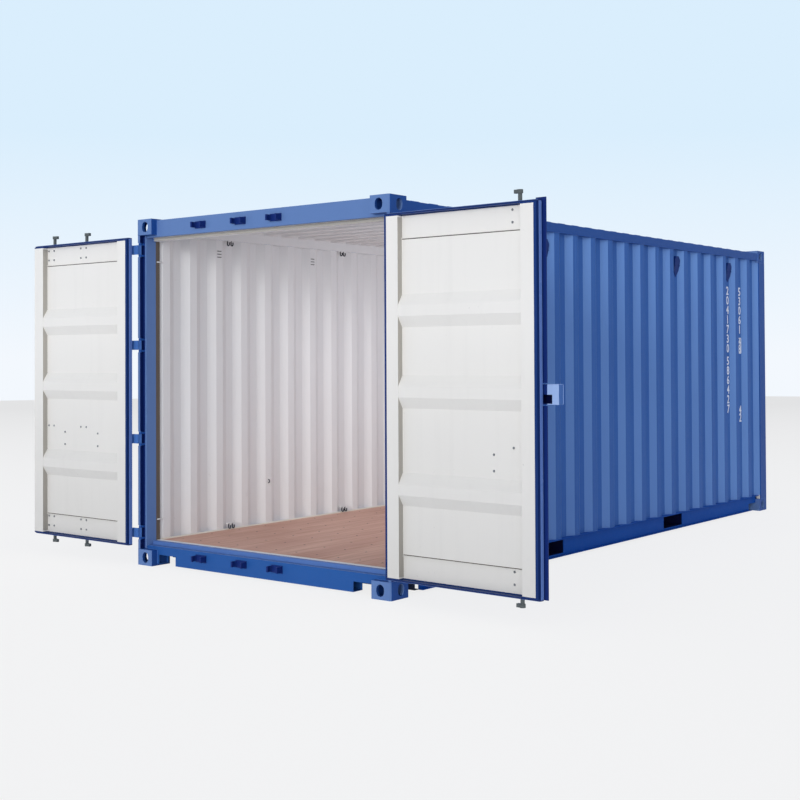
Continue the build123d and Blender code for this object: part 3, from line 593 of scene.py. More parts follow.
@dataclass(frozen=True)
class Split:
    """Where a second paint covers a sheet: the faces that look in a direction, inside spans of X, Y and Z.

    The spans are read in axes turned about Z and moved to an origin. Without a direction every face is covered.
    """

    direction: Triple | None = None
    least: float = 0.1
    x: Span = ANY
    y: Span = ANY
    z: Span = ANY
    origin: Triple = (0.0, 0.0, 0.0)
    turn: float = 0.0


Covers = Sequence[tuple[Paint, Split]]


def turned_span(span: Span, sign: float, middle: float = 0.0) -> Span:
    """Span as it is, or mirrored about a middle where the sign is negative."""
    if sign > 0:
        return span
    low, high = (None if value is None else 2 * middle - value for value in span)
    return high, low


def triple(values: Iterable[float]) -> Triple:
    """Three plain numbers out of an array."""
    x, y, z = (float(value) for value in values)
    return x, y, z


class Workshop:
    """Makes each material once."""

    paint_gloss = 0.12
    rubber_gloss = 0.2
    boards_gloss = 0.25
    metallic = 0.75
    border = 0.02

    def __init__(self) -> None:
        """Start with the shared effects and no materials."""
        self.effects = Effects()
        self.made: dict[str, bpy.types.Material] = {}

    def _start(self, name: str) -> tuple[Web, bpy.types.Node]:
        """Web and shader of a new material, which is kept under its name."""
        material = bpy.data.materials.new(name)
        material.use_nodes = True
        self.made[name] = material
        return Web(material.node_tree), next(n for n in material.node_tree.nodes if n.type == "BSDF_PRINCIPLED")

    def _skin(self, web: Web, shader: bpy.types.Node, group: bpy.types.NodeTree, takes: dict[str, Any]) -> None:
        """Put a group on a shader's colour, roughness and normal."""
        node = web.add("ShaderNodeGroup", node_tree=group)
        for name, value in takes.items():
            web.feed(node.inputs[name], value)
        for name, output in (("Base Color", "Colour"), ("Roughness", "Roughness"), ("Normal", "Normal")):
            web.feed(shader.inputs[name], node.outputs[output])

    def _covered(self, web: Web, split: Split) -> Any:
        """Mask that is 1 where a split's second paint lies."""
        mask: Any = 1.0
        if split.direction is not None:
            facing = web.vector("DOT_PRODUCT", web.facing(), split.direction)
            mask = web.between(facing, split.least - self.border, split.least + self.border)
        local = web.add("ShaderNodeMapping", vector_type="TEXTURE")
        web.feed(local.inputs["Vector"], web.place())
        local.inputs["Location"].default_value = split.origin
        local.inputs["Rotation"].default_value = (0.0, 0.0, split.turn)
        for name, span in zip("XYZ", (split.x, split.y, split.z)):
            for operation, limit in zip(("GREATER_THAN", "LESS_THAN"), span):
                if limit is not None:
                    inside = web.number(operation, web.axis(local.outputs[0], name), limit)
                    mask = web.number("MULTIPLY", mask, inside)
        return mask

    def paint(self, paint: Paint, covers: Covers = (), name: str | None = None) -> bpy.types.Material:
        """Painted steel, with further paints laid over it in turn where their splits say so.

        Args:
            paint: First paint.
            covers: Each further paint with its place.
            name: Name of the material, where the paint's own isn't enough.

        Returns:
            The material.
        """
        name = name or paint.name
        if name not in self.made:
            web, shader = self._start(name)
            colour: Any = paint.colour
            for over, split in covers:
                colour = web.blend(self._covered(web, split), colour, over.colour)
            shade = max([paint.shade, *(over.shade for over, _ in covers)])
            self._skin(web, shader, self.effects.film,
                       {"Colour": colour, "Wear": paint.wear, "Dirt": paint.dirt, "Shade": shade,
                        "Roughness": paint.roughness})
            shader.inputs["Specular IOR Level"].default_value = self.paint_gloss
        return self.made[name]

    def metal(self, metal: Metal) -> bpy.types.Material:
        """Bare steel."""
        if metal.name not in self.made:
            web, shader = self._start(metal.name)
            self._skin(web, shader, self.effects.spangle,
                       {"Colour": metal.colour, "Scale": metal.spangle, "Roughness": metal.roughness})
            shader.inputs["Metallic"].default_value = self.metallic
        return self.made[metal.name]

    def rubber(self, rubber: Rubber, cover: tuple[Paint, Split] | None = None,
               name: str | None = None) -> bpy.types.Material:
        """Seal rubber, moulded plastic or sealant: a soft mottle and a fine bump.

        Args:
            rubber: The rubber.
            cover: Paint that was sprayed over part of it, with its place.
            name: Name of the material, where the rubber's own isn't enough.

        Returns:
            The material.
        """
        name = name or rubber.name
        if name not in self.made:
            web, shader = self._start(name)
            where = web.place()
            mottle = web.noise(where, 6.0, 4.0)
            colour = web.blend(web.between(mottle, 0.45, 0.75, 0.0, 0.12), rubber.colour, RUBBED)
            if cover is not None:
                colour = web.blend(self._covered(web, cover[1]), colour, cover[0].colour)
            web.feed(shader.inputs["Base Color"], colour)
            web.feed(shader.inputs["Roughness"],
                     web.between(mottle, 0.3, 0.7, rubber.roughness - 0.08, rubber.roughness + 0.1))
            web.feed(shader.inputs["Normal"], web.bump(web.noise(where, rubber.grain, 2.0), 0.15, 0.0004))
            shader.inputs["Specular IOR Level"].default_value = self.rubber_gloss
        return self.made[name]

    def boards(self, boards: Boards) -> bpy.types.Material:
        """Worn plywood."""
        if boards.name not in self.made:
            web, shader = self._start(boards.name)
            self._skin(web, shader, self.effects.ply,
                       {"Colour": boards.colour, "Dark": boards.dark, "Pale": boards.pale})
            shader.inputs["Specular IOR Level"].default_value = self.boards_gloss
        return self.made[boards.name]


def dress(nodes: Iterable[str], material: bpy.types.Material) -> None:
    """Give CAD nodes a material.

    Args:
        nodes: Names of the nodes.
        material: Their new material.
    """
    for name in nodes:
        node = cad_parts[name]
        if not node.material_slots:
            node.data.materials.append(material)
        for slot in node.material_slots:
            slot.material = material
        log.info("dressed %s in %s", name, material.name)


def add_piece(name: str, shape: Shape, material: bpy.types.Material,
              body: Body = Body.FRAME) -> None:
    """Make a piece from a shape and let it ride on its body.

    Args:
        name: Piece name.
        shape: Its surface, in the frame of the CAD.
        material: Its material.
        body: The body that it moves with.
    """
    mesh = bpy.data.meshes.new(name)
    mesh.from_pydata(shape.points.tolist(), [], [face for block in shape.faces for face in block.tolist()])
    mesh.validate()
    mesh.shade_smooth()
    mesh.set_sharp_from_angle(angle=math.radians(SHARP_DEGREES))
    mesh.materials.append(material)
    piece = bpy.data.objects.new(name, mesh)
    bpy.context.scene.collection.objects.link(piece)
    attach(piece, body.value)
    log.info("made %s: %d points", name, len(shape.points))


# Sub-assemblies


@dataclass
class Shell:
    """Walls, roof, posts and base: their paints, the seams between them and their marks.

    Sizes across are given from the left wall's outer side and mirrored for the right side.
    """

    shop: Workshop
    inner_edge: float = 0.0485
    sheet_edge: float = 0.0130
    outer_face: float = 0.010
    recess_wide: float = 0.034
    recess_deep: Span = (0.0065, 0.0485)
    post_back: float = 0.1405
    opening_edge: float = 0.066
    header_slope: float = 0.090
    header_back: float = 0.100
    sill_lip: Span = (0.052, 0.149)
    sill_lip_low: float = 0.1425
    end_header_back: float = 6.0085
    pocket_edge: float = 0.020
    bead_inset: float = 0.003
    door_face: float = 0.055
    bead_rows: tuple[float, float] = (0.158, 2.492)
    wall_bead: float = 0.0024
    joint_bead: float = 0.0014
    joint_grooves: tuple[int, ...] = (-7, -3, 2, 6)
    digit_tall: float = 0.078
    digit_rows: tuple[tuple[str, int, float, float], ...] = (
        ("2041730", 8, 2.165, 0.092), ("586427", 8, 1.492, 0.092), ("53061", 9, 2.165, 0.092),
        ("48", 9, 1.676, 0.068), ("42", 9, 1.012, 0.076))
    box_groove: int = 9
    box_middle: float = 1.642
    box_half: tuple[float, float] = (0.033, 0.072)
    box_stroke: float = 0.009
    roof_low: float = 2.564

    def dress(self) -> None:
        """Blue outside, cream inside, with each border where the real one has it; painted light on the door end and
        sill lip, painted shade under the header and in the pocket tunnels.
        """
        for side, sign in (("left", 1.0), ("right", -1.0)):
            self._dress_side(side, sign)
        paint = self.shop.paint
        opening = (self.opening_edge, WIDTH - self.opening_edge)
        under = [(CREAM, Split((0, 0.707, -0.707), 0.3, x=opening, y=(self.header_slope, None))),
                 (SHADE_CREAM, Split((0, -1, 0), 0.5, x=opening, y=(self.header_back, None)))]
        # The sill lip's faces that look up and forward get a lighter blue: painted light.
        lip = Split((0, -0.5, 0.866), 0.4, y=self.sill_lip, z=(self.sill_lip_low, None))
        tunnel = Split(x=(self.pocket_edge, WIDTH - self.pocket_edge))
        end_header = Split((0, -0.894, -0.447), 0.2, y=(None, self.end_header_back))
        dress(["end_wall"], paint(BLUE, [(CREAM, Split((0, -1, 0), 0.0))], "end wall paint"))
        dress(["roof"], paint(BLUE, [(CREAM, Split((0, 0, -1), 0.1))], "roof paint"))
        # The header front is in the lit copy of the blue, painted light; its underside faces that look out are in the
        # shaded cream, painted shade.
        dress(["door_header"], paint(LIT_FRONT_BLUE, under, "header paint"))
        dress(["door_sill"], paint(SILL_BLUE, [(SILL_LIGHT_BLUE, lip)], "sill paint"))
        # Cam keepers in navy: painted shade.
        dress(["cam_keepers"], paint(NAVY_SHADE))
        dress(["end_header"], paint(RAIL_BLUE, [(CREAM, end_header)], "end header paint"))
        # Corner fitting faces that look toward the door end are in the lit copy of the blue: painted light.
        dress(["bottom_corner_fittings", "top_corner_fittings"],
              paint(RAIL_BLUE, [(LIT_FRONT_BLUE, Split((0, -1, 0), 0.5))], "corner fitting paint"))
        dress(["post_hinges", "end_sill"], paint(RAIL_BLUE))
        dress(["left_bottom_rail", "right_bottom_rail"], paint(BASE_BLUE))
        dress(["forklift_pockets"], paint(BASE_BLUE, [(SHADOW_BLUE, tunnel)], "forklift pocket paint"))
        dress(["cross_members"], paint(UNDER_BLUE))

    def _dress_side(self, side: str, sign: float) -> None:
        """Paints of one side's wall, top rail and posts.

        Args:
            side: Its name.
            sign: 1 on the left and -1 on the right.
        """
        def across(low: float | None = None, high: float | None = None) -> Span:
            """Span in X, given from this side's outer face."""
            return turned_span((low, high), sign, WIDTH / 2)

        paint = self.shop.paint
        # Slopes that look toward the door end are painted lighter: painted light.
        wall = [(SLOPE_LIGHT_BLUE, Split((0, -1, 0), 0.3)), (CREAM, Split((sign, 0, 0), 0.0))]
        rail = [(CREAM, Split((sign * 0.894, 0, -0.447), 0.2, x=across(self.inner_edge)))]
        end_post = [(CREAM, Split((sign * 0.707, -0.707, 0), 0.2, x=across(self.sheet_edge)))]
        # Door post: lit copy of the blue on its front, painted light; navy in its recess and taupe in the hollow behind
        # it, painted shade.
        door_post = [(RAIL_BLUE, Split((-sign, 0, 0), 0.5, x=across(high=self.outer_face))),
                     (NAVY_SHADE, Split(x=across(high=self.recess_wide), y=self.recess_deep)),
                     (TAUPE_SHADE, Split(y=(self.post_back, None)))]
        dress([f"{side}_wall"], paint(SIDE_BLUE, wall, f"{side} wall paint"))
        dress([f"{side}_top_rail"], paint(RAIL_BLUE, rail, f"{side} rail paint"))
        dress([f"{side}_end_post"], paint(RAIL_BLUE, end_post, f"{side} end post paint"))
        dress([f"{side}_door_post"], paint(LIT_FRONT_BLUE, door_post, f"{side} door post paint"))

    def seams(self) -> None:
        """Weld beads where posts, rails, sill and header meet the corner fittings, and along the walls."""
        inset, face, wide, long = self.bead_inset, self.door_face, FITTING_WIDE, FITTING_LONG
        back = LENGTH - inset
        lines = []
        for z in (FITTING_TALL, HEIGHT - FITTING_TALL):
            lines += [((inset, 0.006, z), (0.025, 0.006, z)), ((inset, 0.006, z), (inset, 0.140, z)),
                      ((0.050, 0.048, z), (0.050, 0.140, z)), ((0.050, face, z), (wide, face, z)),
                      ((inset, LENGTH - 0.140, z), (inset, LENGTH - 0.018, z)), ((0.016, back, z), (0.100, back, z))]
        rail_ends = (2.492, 2.562)
        upright = [(wide, face, (0.012, FITTING_TALL)), (wide, face, (HEIGHT - FITTING_TALL, 2.582)),
                   (wide, back, (0.020, 0.158)), (wide, back, rail_ends),
                   (inset, long, rail_ends), (inset, LENGTH - long, rail_ends)]
        lines += [((x, y, low), (x, y, high)) for x, y, (low, high) in upright]
        blue = self.shop.paint(BLUE)
        add_piece("corner_weld_beads", seams(lines).paired(), blue)
        wall = Shape.joined([*(self._wall_line(z) for z in self.bead_rows), self._wall_joints()])
        add_piece("left_wall_weld_beads", wall, blue)
        add_piece("right_wall_weld_beads", wall.mirrored(), blue)

    def _wall_line(self, z: float) -> Shape:
        """Bead that follows the outer corners of the pressed side sheet at one height."""
        foot = SIDE_CREST / 2 + SIDE_SLOPE
        centres = groove(np.arange(-10, 11))
        across = np.array([-foot, -SIDE_CREST / 2, SIDE_CREST / 2, foot])
        y = (centres[:, None] + across).ravel()
        x = np.tile([0.0, SIDE_DEPTH, SIDE_DEPTH, 0.0], len(centres)) + SIDE_FACE
        inside = (y > 0.18) & (y < LENGTH - 0.18)
        path = np.column_stack([x[inside], y[inside], np.full(inside.sum(), z)])
        return tube(path, self.wall_bead, 6, (0, 0, 1))

    def _wall_joints(self) -> Shape:
        """Upright beads where the sheets of a side wall join."""
        rows = groove(np.array(self.joint_grooves) + 0.5)
        return seams((((SIDE_FACE, y, 0.160), (SIDE_FACE, y, 2.490)) for y in rows), self.joint_bead)

    def marks(self) -> None:
        """Two upright rows of plain digits near the closed end of the right wall, and one outlined pair."""
        face = WIDTH - SIDE_FACE - SIDE_DEPTH
        shapes = [self._digit(digit, (face, groove(index), top - row * pitch))
                  for digits, index, top, pitch in self.digit_rows for row, digit in enumerate(digits)]
        shapes.append(self._box().placed(np.eye(3), (face, groove(self.box_groove), self.box_middle)))
        add_piece("right_wall_digits", Shape.joined(shapes), self.shop.paint(MARK_WHITE))

    def _digit(self, digit: str, middle: Triple) -> Shape:
        """Flat digit on a plane that faces +X, with its middle at the given place."""
        cap_share, proud = 0.7, 0.0005
        curve = bpy.data.curves.new("digit", "FONT")
        curve.body, curve.align_x, curve.align_y = digit, "CENTER", "CENTER"
        curve.size, curve.extrude, curve.offset, curve.resolution_u = self.digit_tall / cap_share, 0.0004, 0.0022, 3
        holder = bpy.data.objects.new("digit", curve)
        mesh = bpy.data.meshes.new_from_object(holder)
        points = np.empty(len(mesh.vertices) * 3)
        mesh.vertices.foreach_get("co", points)
        faces = [np.array([list(p.vertices)]) for p in mesh.polygons]
        bpy.data.objects.remove(holder)
        bpy.data.meshes.remove(mesh)
        x, y, z = middle
        return Shape(points.reshape(-1, 3), faces).placed(ONWARD, (x + proud, y, z))

    def _box(self) -> Shape:
        """Outline of four painted strips round its own middle."""
        (half_y, half_z), half = self.box_half, self.box_stroke / 2
        low, high = 0.0002, 0.0009
        level = [plate((low, -half_y, z - half), (high, half_y, z + half)) for z in (-half_z, half_z)]
        upright = [plate((low, y - half, -half_z), (high, y + half, half_z)) for y in (-half_y, half_y)]
        return Shape.joined(level + upright)

    def roof_plates(self) -> None:
        """Doubler plates on the roof beside the top corner fittings."""
        low, high = self.roof_low - 0.001, self.roof_low + 0.003
        corners = (((0.012, 0.182), (0.300, 0.232), 0.006), ((0.164, 0.161), (0.300, 0.182), 0.0),
                   ((0.012, 5.826), (0.300, 5.876), 0.006), ((0.164, 5.876), (0.300, 6.040), 0.0))
        half = Shape.joined(plate((*near, low), (*far, high), edge) for near, far, edge in corners)
        add_piece("roof_corner_plates", half.paired(), self.shop.paint(BLUE))


@dataclass
class Ventilators:
    """Small moulded hoods on the side walls, with the slots behind them."""

    shop: Workshop
    grooves: tuple[int, ...] = (-8, -4, 4, 8)
    slot_size: tuple[float, float] = (0.046, 0.006)
    slot_pitch: float = 0.024
    slot_middle: float = 2.378
    hood_proud: float = 0.024
    rivet_reach: float = 0.036
    rivet_height: float = 2.352

    def dress(self) -> None:
        """Dark navy moulding on both rows of hoods, darkened with painted shade."""
        dress(["left_ventilators", "right_ventilators"], self.shop.rubber(HOOD))

    def slots(self) -> None:
        """Three dark slots in the wall's inner crest behind each hood, and two rivets on each hood."""
        rows = groove(np.array(self.grooves))
        crest = SIDE_FACE + SIDE_DEPTH
        half_wide, half_tall = self.slot_size[0] / 2, self.slot_size[1] / 2
        mark = plate((-0.0004, -half_wide, -half_tall), (0.0008, half_wide, half_tall))
        places = [(crest + SHEET, y, self.slot_middle + step * self.slot_pitch) for y in rows for step in (-1, 0, 1)]
        add_piece("ventilator_slots", mark.repeated(places).paired(), self.shop.rubber(SLOT_SHADE))
        rivet = lathe([(0.006, -0.001), (0.006, 0.0006), (0.0045, 0.0022), (0.0015, 0.0028)], 8)
        places = [(crest - self.hood_proud, y + side * self.rivet_reach, self.rivet_height)
                  for y in rows for side in (-1, 1)]
        heads = rivet.placed(toward((-1, 0, 0))).repeated(places)
        add_piece("ventilator_rivets", heads.paired(), self.shop.rubber(HOOD))


@dataclass
class CargoSpace:
    """What is fixed inside: boards with their screws, sealant, lashing rings, an eye and lashing rods."""

    shop: Workshop
    screw_rows: int = 19
    screws_across: int = 12
    screw_end: float = 0.330
    screw_side: float = 0.14
    clear_side: float = 0.0505
    board_start: float = 0.186
    board_end: float = 5.990
    ring_rows: tuple[float, ...] = (0.910, 2.300, 3.690, 5.080)
    ring_spots: tuple[tuple[float, float], ...] = ((0.0500, 2.486), (0.0560, 0.214))
    ring_rod: float = 0.005
    ring_half: float = 0.020
    eye_groove: int = -6
    eye_height: float = 0.520
    eye_radius: float = 0.014
    eye_rod: float = 0.004
    fold_half: tuple[float, float] = (0.034, 0.100)
    fold_faces: tuple[float, float] = (0.0130, 0.0478)
    fold_rows: Span = (0.28, LENGTH - 0.30)
    rod_rows: tuple[float, float] = (0.327, 2.279)

    def boards(self) -> None:
        """Plywood, rows of screws over the cross members, and pale strips along the edges."""
        dress(["floor"], self.shop.boards(PLYWOOD))
        rows = np.linspace(self.screw_end, LENGTH - self.screw_end, self.screw_rows)
        across = np.linspace(self.screw_side, WIDTH - self.screw_side, self.screws_across)
        y, x = (a.ravel() for a in np.meshgrid(rows, across, indexing="ij"))
        screw = lathe([(0.0075, -0.002), (0.0075, 0.0004), (0.005, 0.0007), (0.002, 0.0003)], 8)
        add_piece("floor_screws", screw.repeated(np.column_stack([x, y, np.full(x.shape, FLOOR_TOP)])),
                  self.shop.metal(DARK_STEEL))
        strip = plate((self.clear_side, 0.1485, FLOOR_TOP - 0.001),
                      (WIDTH - self.clear_side, self.board_start, FLOOR_TOP + 0.002))
        add_piece("threshold_strip", strip, self.shop.paint(CREAM))
        edge = prism([(0.0, 0.0), (0.010, 0.0), (0.0, 0.012)], self.board_start, self.board_end)
        edge = edge.placed(ONWARD @ ONWARD, (self.clear_side - 0.001, 0, FLOOR_TOP - 0.0005))
        add_piece("floor_sealant", edge.paired(), self.shop.rubber(SEALANT))

    def rings(self) -> None:
        """Pairs of hooked lashing rings under the top rails and at the edges of the floor."""
        spots = [(x, y, z) for x, z in self.ring_spots for y in self.ring_rows]
        foot = plate((-0.006, -0.036, 0.000), (0.008, 0.036, 0.010), 0.002)
        add_piece("lashing_rings", self._ring_pair().repeated(spots).paired(), self.shop.metal(DARK_STEEL))
        add_piece("lashing_ring_plates", foot.repeated(spots).paired(), self.shop.paint(CREAM))

    def _ring_pair(self) -> Shape:
        """Two hooked rods side by side: each drops 34 mm, turns out on a half ellipse and comes back up."""
        drop, reach, sag = 0.024, 0.011, 0.010
        turn = np.linspace(0, np.pi, 9)
        hook = np.column_stack([reach - reach * np.cos(turn), np.zeros(9), -drop - sag * np.sin(turn)])
        path = np.vstack([[(0, 0, 0.006), (0, 0, -0.010)], hook, [(2 * reach, 0, -0.016), (2 * reach, 0, -0.008)]])
        return tube(path, self.ring_rod, 8, (0, 1, 0)).repeated([(0.004, side * self.ring_half, 0) for side in (-1, 1)])

    def eye(self) -> None:
        """Small lashing eye on one inner crest of the left wall: a half circle in an upright plane."""
        turn = np.linspace(0, np.pi, 9)
        out, rise = self.eye_radius * np.sin(turn), self.eye_radius * np.cos(turn)
        path = np.column_stack([SIDE_FACE + SIDE_DEPTH + 0.001 + out, np.full(9, groove(self.eye_groove)),
                                self.eye_height + rise])
        add_piece("wall_eye", tube(path, self.eye_rod, 8, (0, 1, 0)), self.shop.metal(DARK_STEEL))

    def wall_tops(self) -> None:
        """Sealant that closes each outward fold of the side walls under the top rail, seen from inside."""
        (near, far), (outer, inner) = self.fold_half, self.fold_faces
        fill = prism([(outer, -near), (inner, -far), (inner, far), (outer, near)], 2.4885, 2.4925)
        folds = groove(np.arange(22) - 10.5)
        folds = folds[(folds > self.fold_rows[0]) & (folds < self.fold_rows[1])]
        left = fill.repeated([(0, y, 0) for y in folds])
        add_piece("wall_top_sealant", left.paired(), self.shop.paint(CREAM))

    def rods(self) -> None:
        """Short lashing rods across the hollow behind each door post, near its foot and its head."""
        path = [(0.0515, 0.150, 0), (0.0545, 0.158, 0), (0.0545, 0.196, 0), (0.0500, 0.208, 0)]
        rods = tube(np.array(path), 0.005, 8, (0, 0, 1)).repeated([(0, 0, z) for z in self.rod_rows])
        add_piece("lashing_rods", rods.paired(), self.shop.paint(CREAM))


@dataclass
class Leaf:
    """One door leaf at rest: its paints, seal ribs, welds, bolts and pin heads.

    Places on it are given as the distance u along it from the pin, the depth v inward from the pin and the height z.
    """

    shop: Workshop
    name: str
    hand: int
    opened: float
    pin: tuple[float, float]
    body: Body
    bars: tuple[float, ...]
    start: float = 0.044
    end: float = 1.187
    low: float = 0.157
    high: float = 2.443
    stile: float = 0.110
    channel: float = 0.152
    free_border: float = 0.018
    hinge_border: float = 0.016
    edge_border: float = 0.010
    shade_border: tuple[float, float] = (0.05, 0.02)
    sheet_depth: float = 0.0465
    weld_depth: float = 0.0485
    fold_depth: float = 0.0905
    fold_feet: tuple[float, float] = (0.035, 0.103)
    fold_rows: tuple[float, ...] = (0.723, 1.331, 1.838)
    hinge_rows: tuple[float, ...] = (0.240, 0.943, 1.646, 2.363)
    rib_depths: tuple[float, ...] = (0.0525, 0.0595, 0.0665, 0.0735)
    rib_radius: float = 0.0040
    rib_lip: float = 0.0078
    rib_corner: float = 0.012

    def axes(self) -> np.ndarray:
        """Directions along the leaf, inward and up, as columns."""
        swing = math.radians(self.opened)
        along = np.array([self.hand * math.cos(swing), -math.sin(swing), 0])
        inward = self.hand * np.array([-along[1], along[0], 0])
        return np.stack([along, inward, [0, 0, 1]], axis=1)

    def fixed(self, shape: Shape) -> Shape:
        """A shape drawn in the leaf's own axes, put where the leaf is: pin + along u + inward v + up z."""
        faces = shape.faces if self.hand > 0 else [block[:, ::-1] for block in shape.faces]
        return Shape(shape.points @ self.axes().T + [*self.pin, 0], list(faces))

    def part(self, u: Span = ANY, v: Span = ANY, z: Span = ANY, way: Sequence[float] | None = None,
             least: float = 0.1) -> Split:
        """Where a paint covers part of the leaf.

        Args:
            u: Span along the leaf.
            v: Span inward.
            z: Span of height.
            way: Direction that the covered faces look in, in the leaf's own axes, or none for all of them.
            least: Least share of that direction in a face's normal.

        Returns:
            The split, in axes that lie along the leaf.
        """
        direction = None if way is None else triple(self.axes() @ np.asarray(way, float))
        turn = math.atan2(*self.axes()[[1, 0], 0])
        return Split(direction, least, u, turned_span(v, self.hand), z, (*self.pin, 0.0), turn)

    def outside(self) -> Split:
        """The faces that look out when the leaf is closed."""
        return self.part(way=(0, -1, 0), least=0.5)

    def add(self, part: str, shape: Shape, material: bpy.types.Material, slot: Slot = Slot.DOOR) -> None:
        """Add a piece that is drawn in the leaf's own axes and rides on it."""
        add_piece(f"{self.name}_{part}", self.fixed(shape), material, self.body)

    def dress(self) -> None:
        """Cream inner face with a blue border, blue outer face, dark seal and blue ironwork, with navy painted shade on
        the frame's edges and shaded cream, painted shade, on the stiles' sides.
        """
        free, inner = (self.free_border if self.hand < 0 else 0.0), (self.sheet_depth, None)
        cream = self.part((self.start + self.hinge_border, self.end - free), inner,
                          (self.low + self.edge_border, self.high - self.edge_border), (0, 1, 0), -0.3)
        side, edge = self.shade_border
        shade = self.part((self.start + side, self.end - side), inner, (self.low + edge, self.high - edge),
                          (-self.hand, 0, 0), 0.7)
        # The frame's edges stay navy and the stiles' sides facing the panel are shaded cream: painted shade.
        covers = [(BLUE, self.outside()), (DOOR_CREAM, cream), (SHADE_CREAM, shade)]
        paint = self.shop.paint
        dress([f"{self.name}_door_panel"], paint(BLUE, [(DOOR_CREAM, cream)], f"{self.name} door paint"))
        dress([f"{self.name}_door_frame"], paint(EDGE_SHADE_BLUE, covers, f"{self.name} leaf frame paint"))
        dress([f"{self.name}_hinge_blades", f"{self.name}_bar_guides"], paint(BLUE))
        dress([f"{self.name}_door_gasket"], self._seal(SEAL))

    def _seal(self, rubber: Rubber) -> bpy.types.Material:
        """Rubber of this leaf: the left leaf's was sprayed cream along its free edge."""
        if self.hand < 0:
            return self.shop.rubber(rubber)
        sprayed = self.part((self.end - 0.019, None), z=(self.low + 0.004, self.high + 0.001))
        return self.shop.rubber(rubber, (DOOR_CREAM, sprayed), f"{self.name} {rubber.name}")

    def seal_ribs(self) -> None:
        """Soft ribs round the seal's outer edge, along a rectangle whose corners are quarter circles, in a light blue
        that is a painted highlight.
        """
        lip, bend = self.rib_lip, self.rib_corner
        near, far = self.start - lip + bend, self.end + lip - bend
        foot, head = self.low - lip + bend, self.high + lip - bend
        turn = np.linspace(0, np.pi / 2, 5)
        loop = np.vstack([np.column_stack([u + bend * np.cos(turn + quarter * np.pi / 2),
                                           z + bend * np.sin(turn + quarter * np.pi / 2)])
                          for quarter, (u, z) in enumerate(((far, head), (near, head), (near, foot), (far, foot)))])
        ribs = [tube(np.column_stack([loop[:, 0], np.full(len(loop), depth), loop[:, 1]]), self.rib_radius, 8,
                     (0, 1, 0), True) for depth in self.rib_depths]
        self.add("seal_ribs", Shape.joined(ribs), self._seal(SEAL_RIB_HIGHLIGHT), Slot.SEAL)

    def welds(self) -> None:
        """Beads, dark plates of painted shade in the open seams between the sheet and its frame, and beads round the
        hinge blades.
        """
        near, far = self.start + self.stile, self.end - self.stile
        low, high = self.low + self.channel, self.high - self.channel
        depth, (crest, foot) = self.weld_depth, self.fold_feet
        profile = [(depth, low)]
        for z in self.fold_rows:
            profile += [(depth, z - foot), (self.fold_depth, z - crest),
                        (self.fold_depth, z + crest), (depth, z + foot)]
        profile.append((depth, high))
        lines = [((u, *start), (u, *stop)) for u in (near, far) for start, stop in zip(profile, profile[1:])]
        lines += [((near, depth, z), (far, depth, z)) for z in (low, high)]
        self.add("panel_beads", seams(lines, 0.0025), self.shop.paint(DOOR_CREAM))
        # Dark plates in the seams stand in for the shade there: painted shade.
        gap = plate((near + 0.001, 0.0470, -0.0035), (far - 0.001, 0.0492, 0.0035))
        self.add("panel_gaps", gap.repeated([(0, 0, z) for z in (low + 0.003, high - 0.003)]), self.shop.paint(SEAM_SHADE))
        self.add("fold_ends", self._fold_ends(near, far), self.shop.paint(BLUE))
        outline, strap = [], ((0.054, -0.035), (0.138, -0.035), (0.138, 0.035), (0.054, 0.035))
        for z in self.hinge_rows:
            corners = [(u, 0.0425, z + rise) for u, rise in strap]
            outline += list(zip(corners, corners[1:]))
        self.add("hinge_beads", seams(outline, 0.0032), self.shop.paint(BLUE))

    def _fold_ends(self, near: float, far: float) -> Shape:
        """Thin painted plates on the stiles, in the outer ends of the panel's folds."""
        (crest, foot), shallow, deep, thick = self.fold_feet, 0.0455, 0.0878, 0.0012
        end = prism([(shallow, -foot), (deep, -crest), (deep, crest), (shallow, foot)], -thick / 2, thick / 2)
        return end.placed(ONWARD).repeated([(u, 0, z) for u in (near, far) for z in self.fold_rows])

    def bolts(self) -> None:
        """Bolts through the bar guides and handle rests: domed heads outside, capped tails inside."""
        guide, rest = (-0.033, 0.033), 0.175
        four = [(side, rise) for side in guide for rise in (-0.037, 0.037)]
        outer, inner = [], []
        for reach in self.bars:
            outer += [(reach + side, depth, z + rise) for z, depth in ((2.365, 0.037), (0.255, 0.037), (1.014, 0.040))
                      for side, rise in four]
            inner += [(reach + side, 0.047, z + rise) for z in (2.372, 0.255) for side, rise in four]
            inner += [(reach + side, 0.048, 1.014) for side in guide]
            for depth, places in ((0.040, outer), (0.048, inner)):
                places += [(reach - rest, depth, z) for z in (0.969, 0.872)]
        zinc = self.shop.metal(ZINC)
        self.add("outer_bolts", bolt_head(0.0075, 0.006).placed(toward((0, -1, 0))).repeated(outer), zinc, Slot.BAR)
        self.add("inner_bolts", bolt_head(0.0065, 0.0065).placed(toward((0, 1, 0))).repeated(inner), zinc, Slot.BAR)

    def pin_heads(self) -> None:
        """Domed ends of the hinge pins, on the lugs of the post."""
        half = 0.050
        head = lathe([(0.0095, -0.001), (0.0095, 0.002), (0.008, 0.004), (0.004, 0.0055)], 12)
        ends = [side.repeated([(*self.pin, z + rise) for z in self.hinge_rows])
                for side, rise in ((head, half), (head.placed(np.diag([1.0, -1.0, -1.0])), -half))]
        add_piece(f"{self.name}_pin_heads", Shape.joined(ends), self.shop.paint(BLUE))


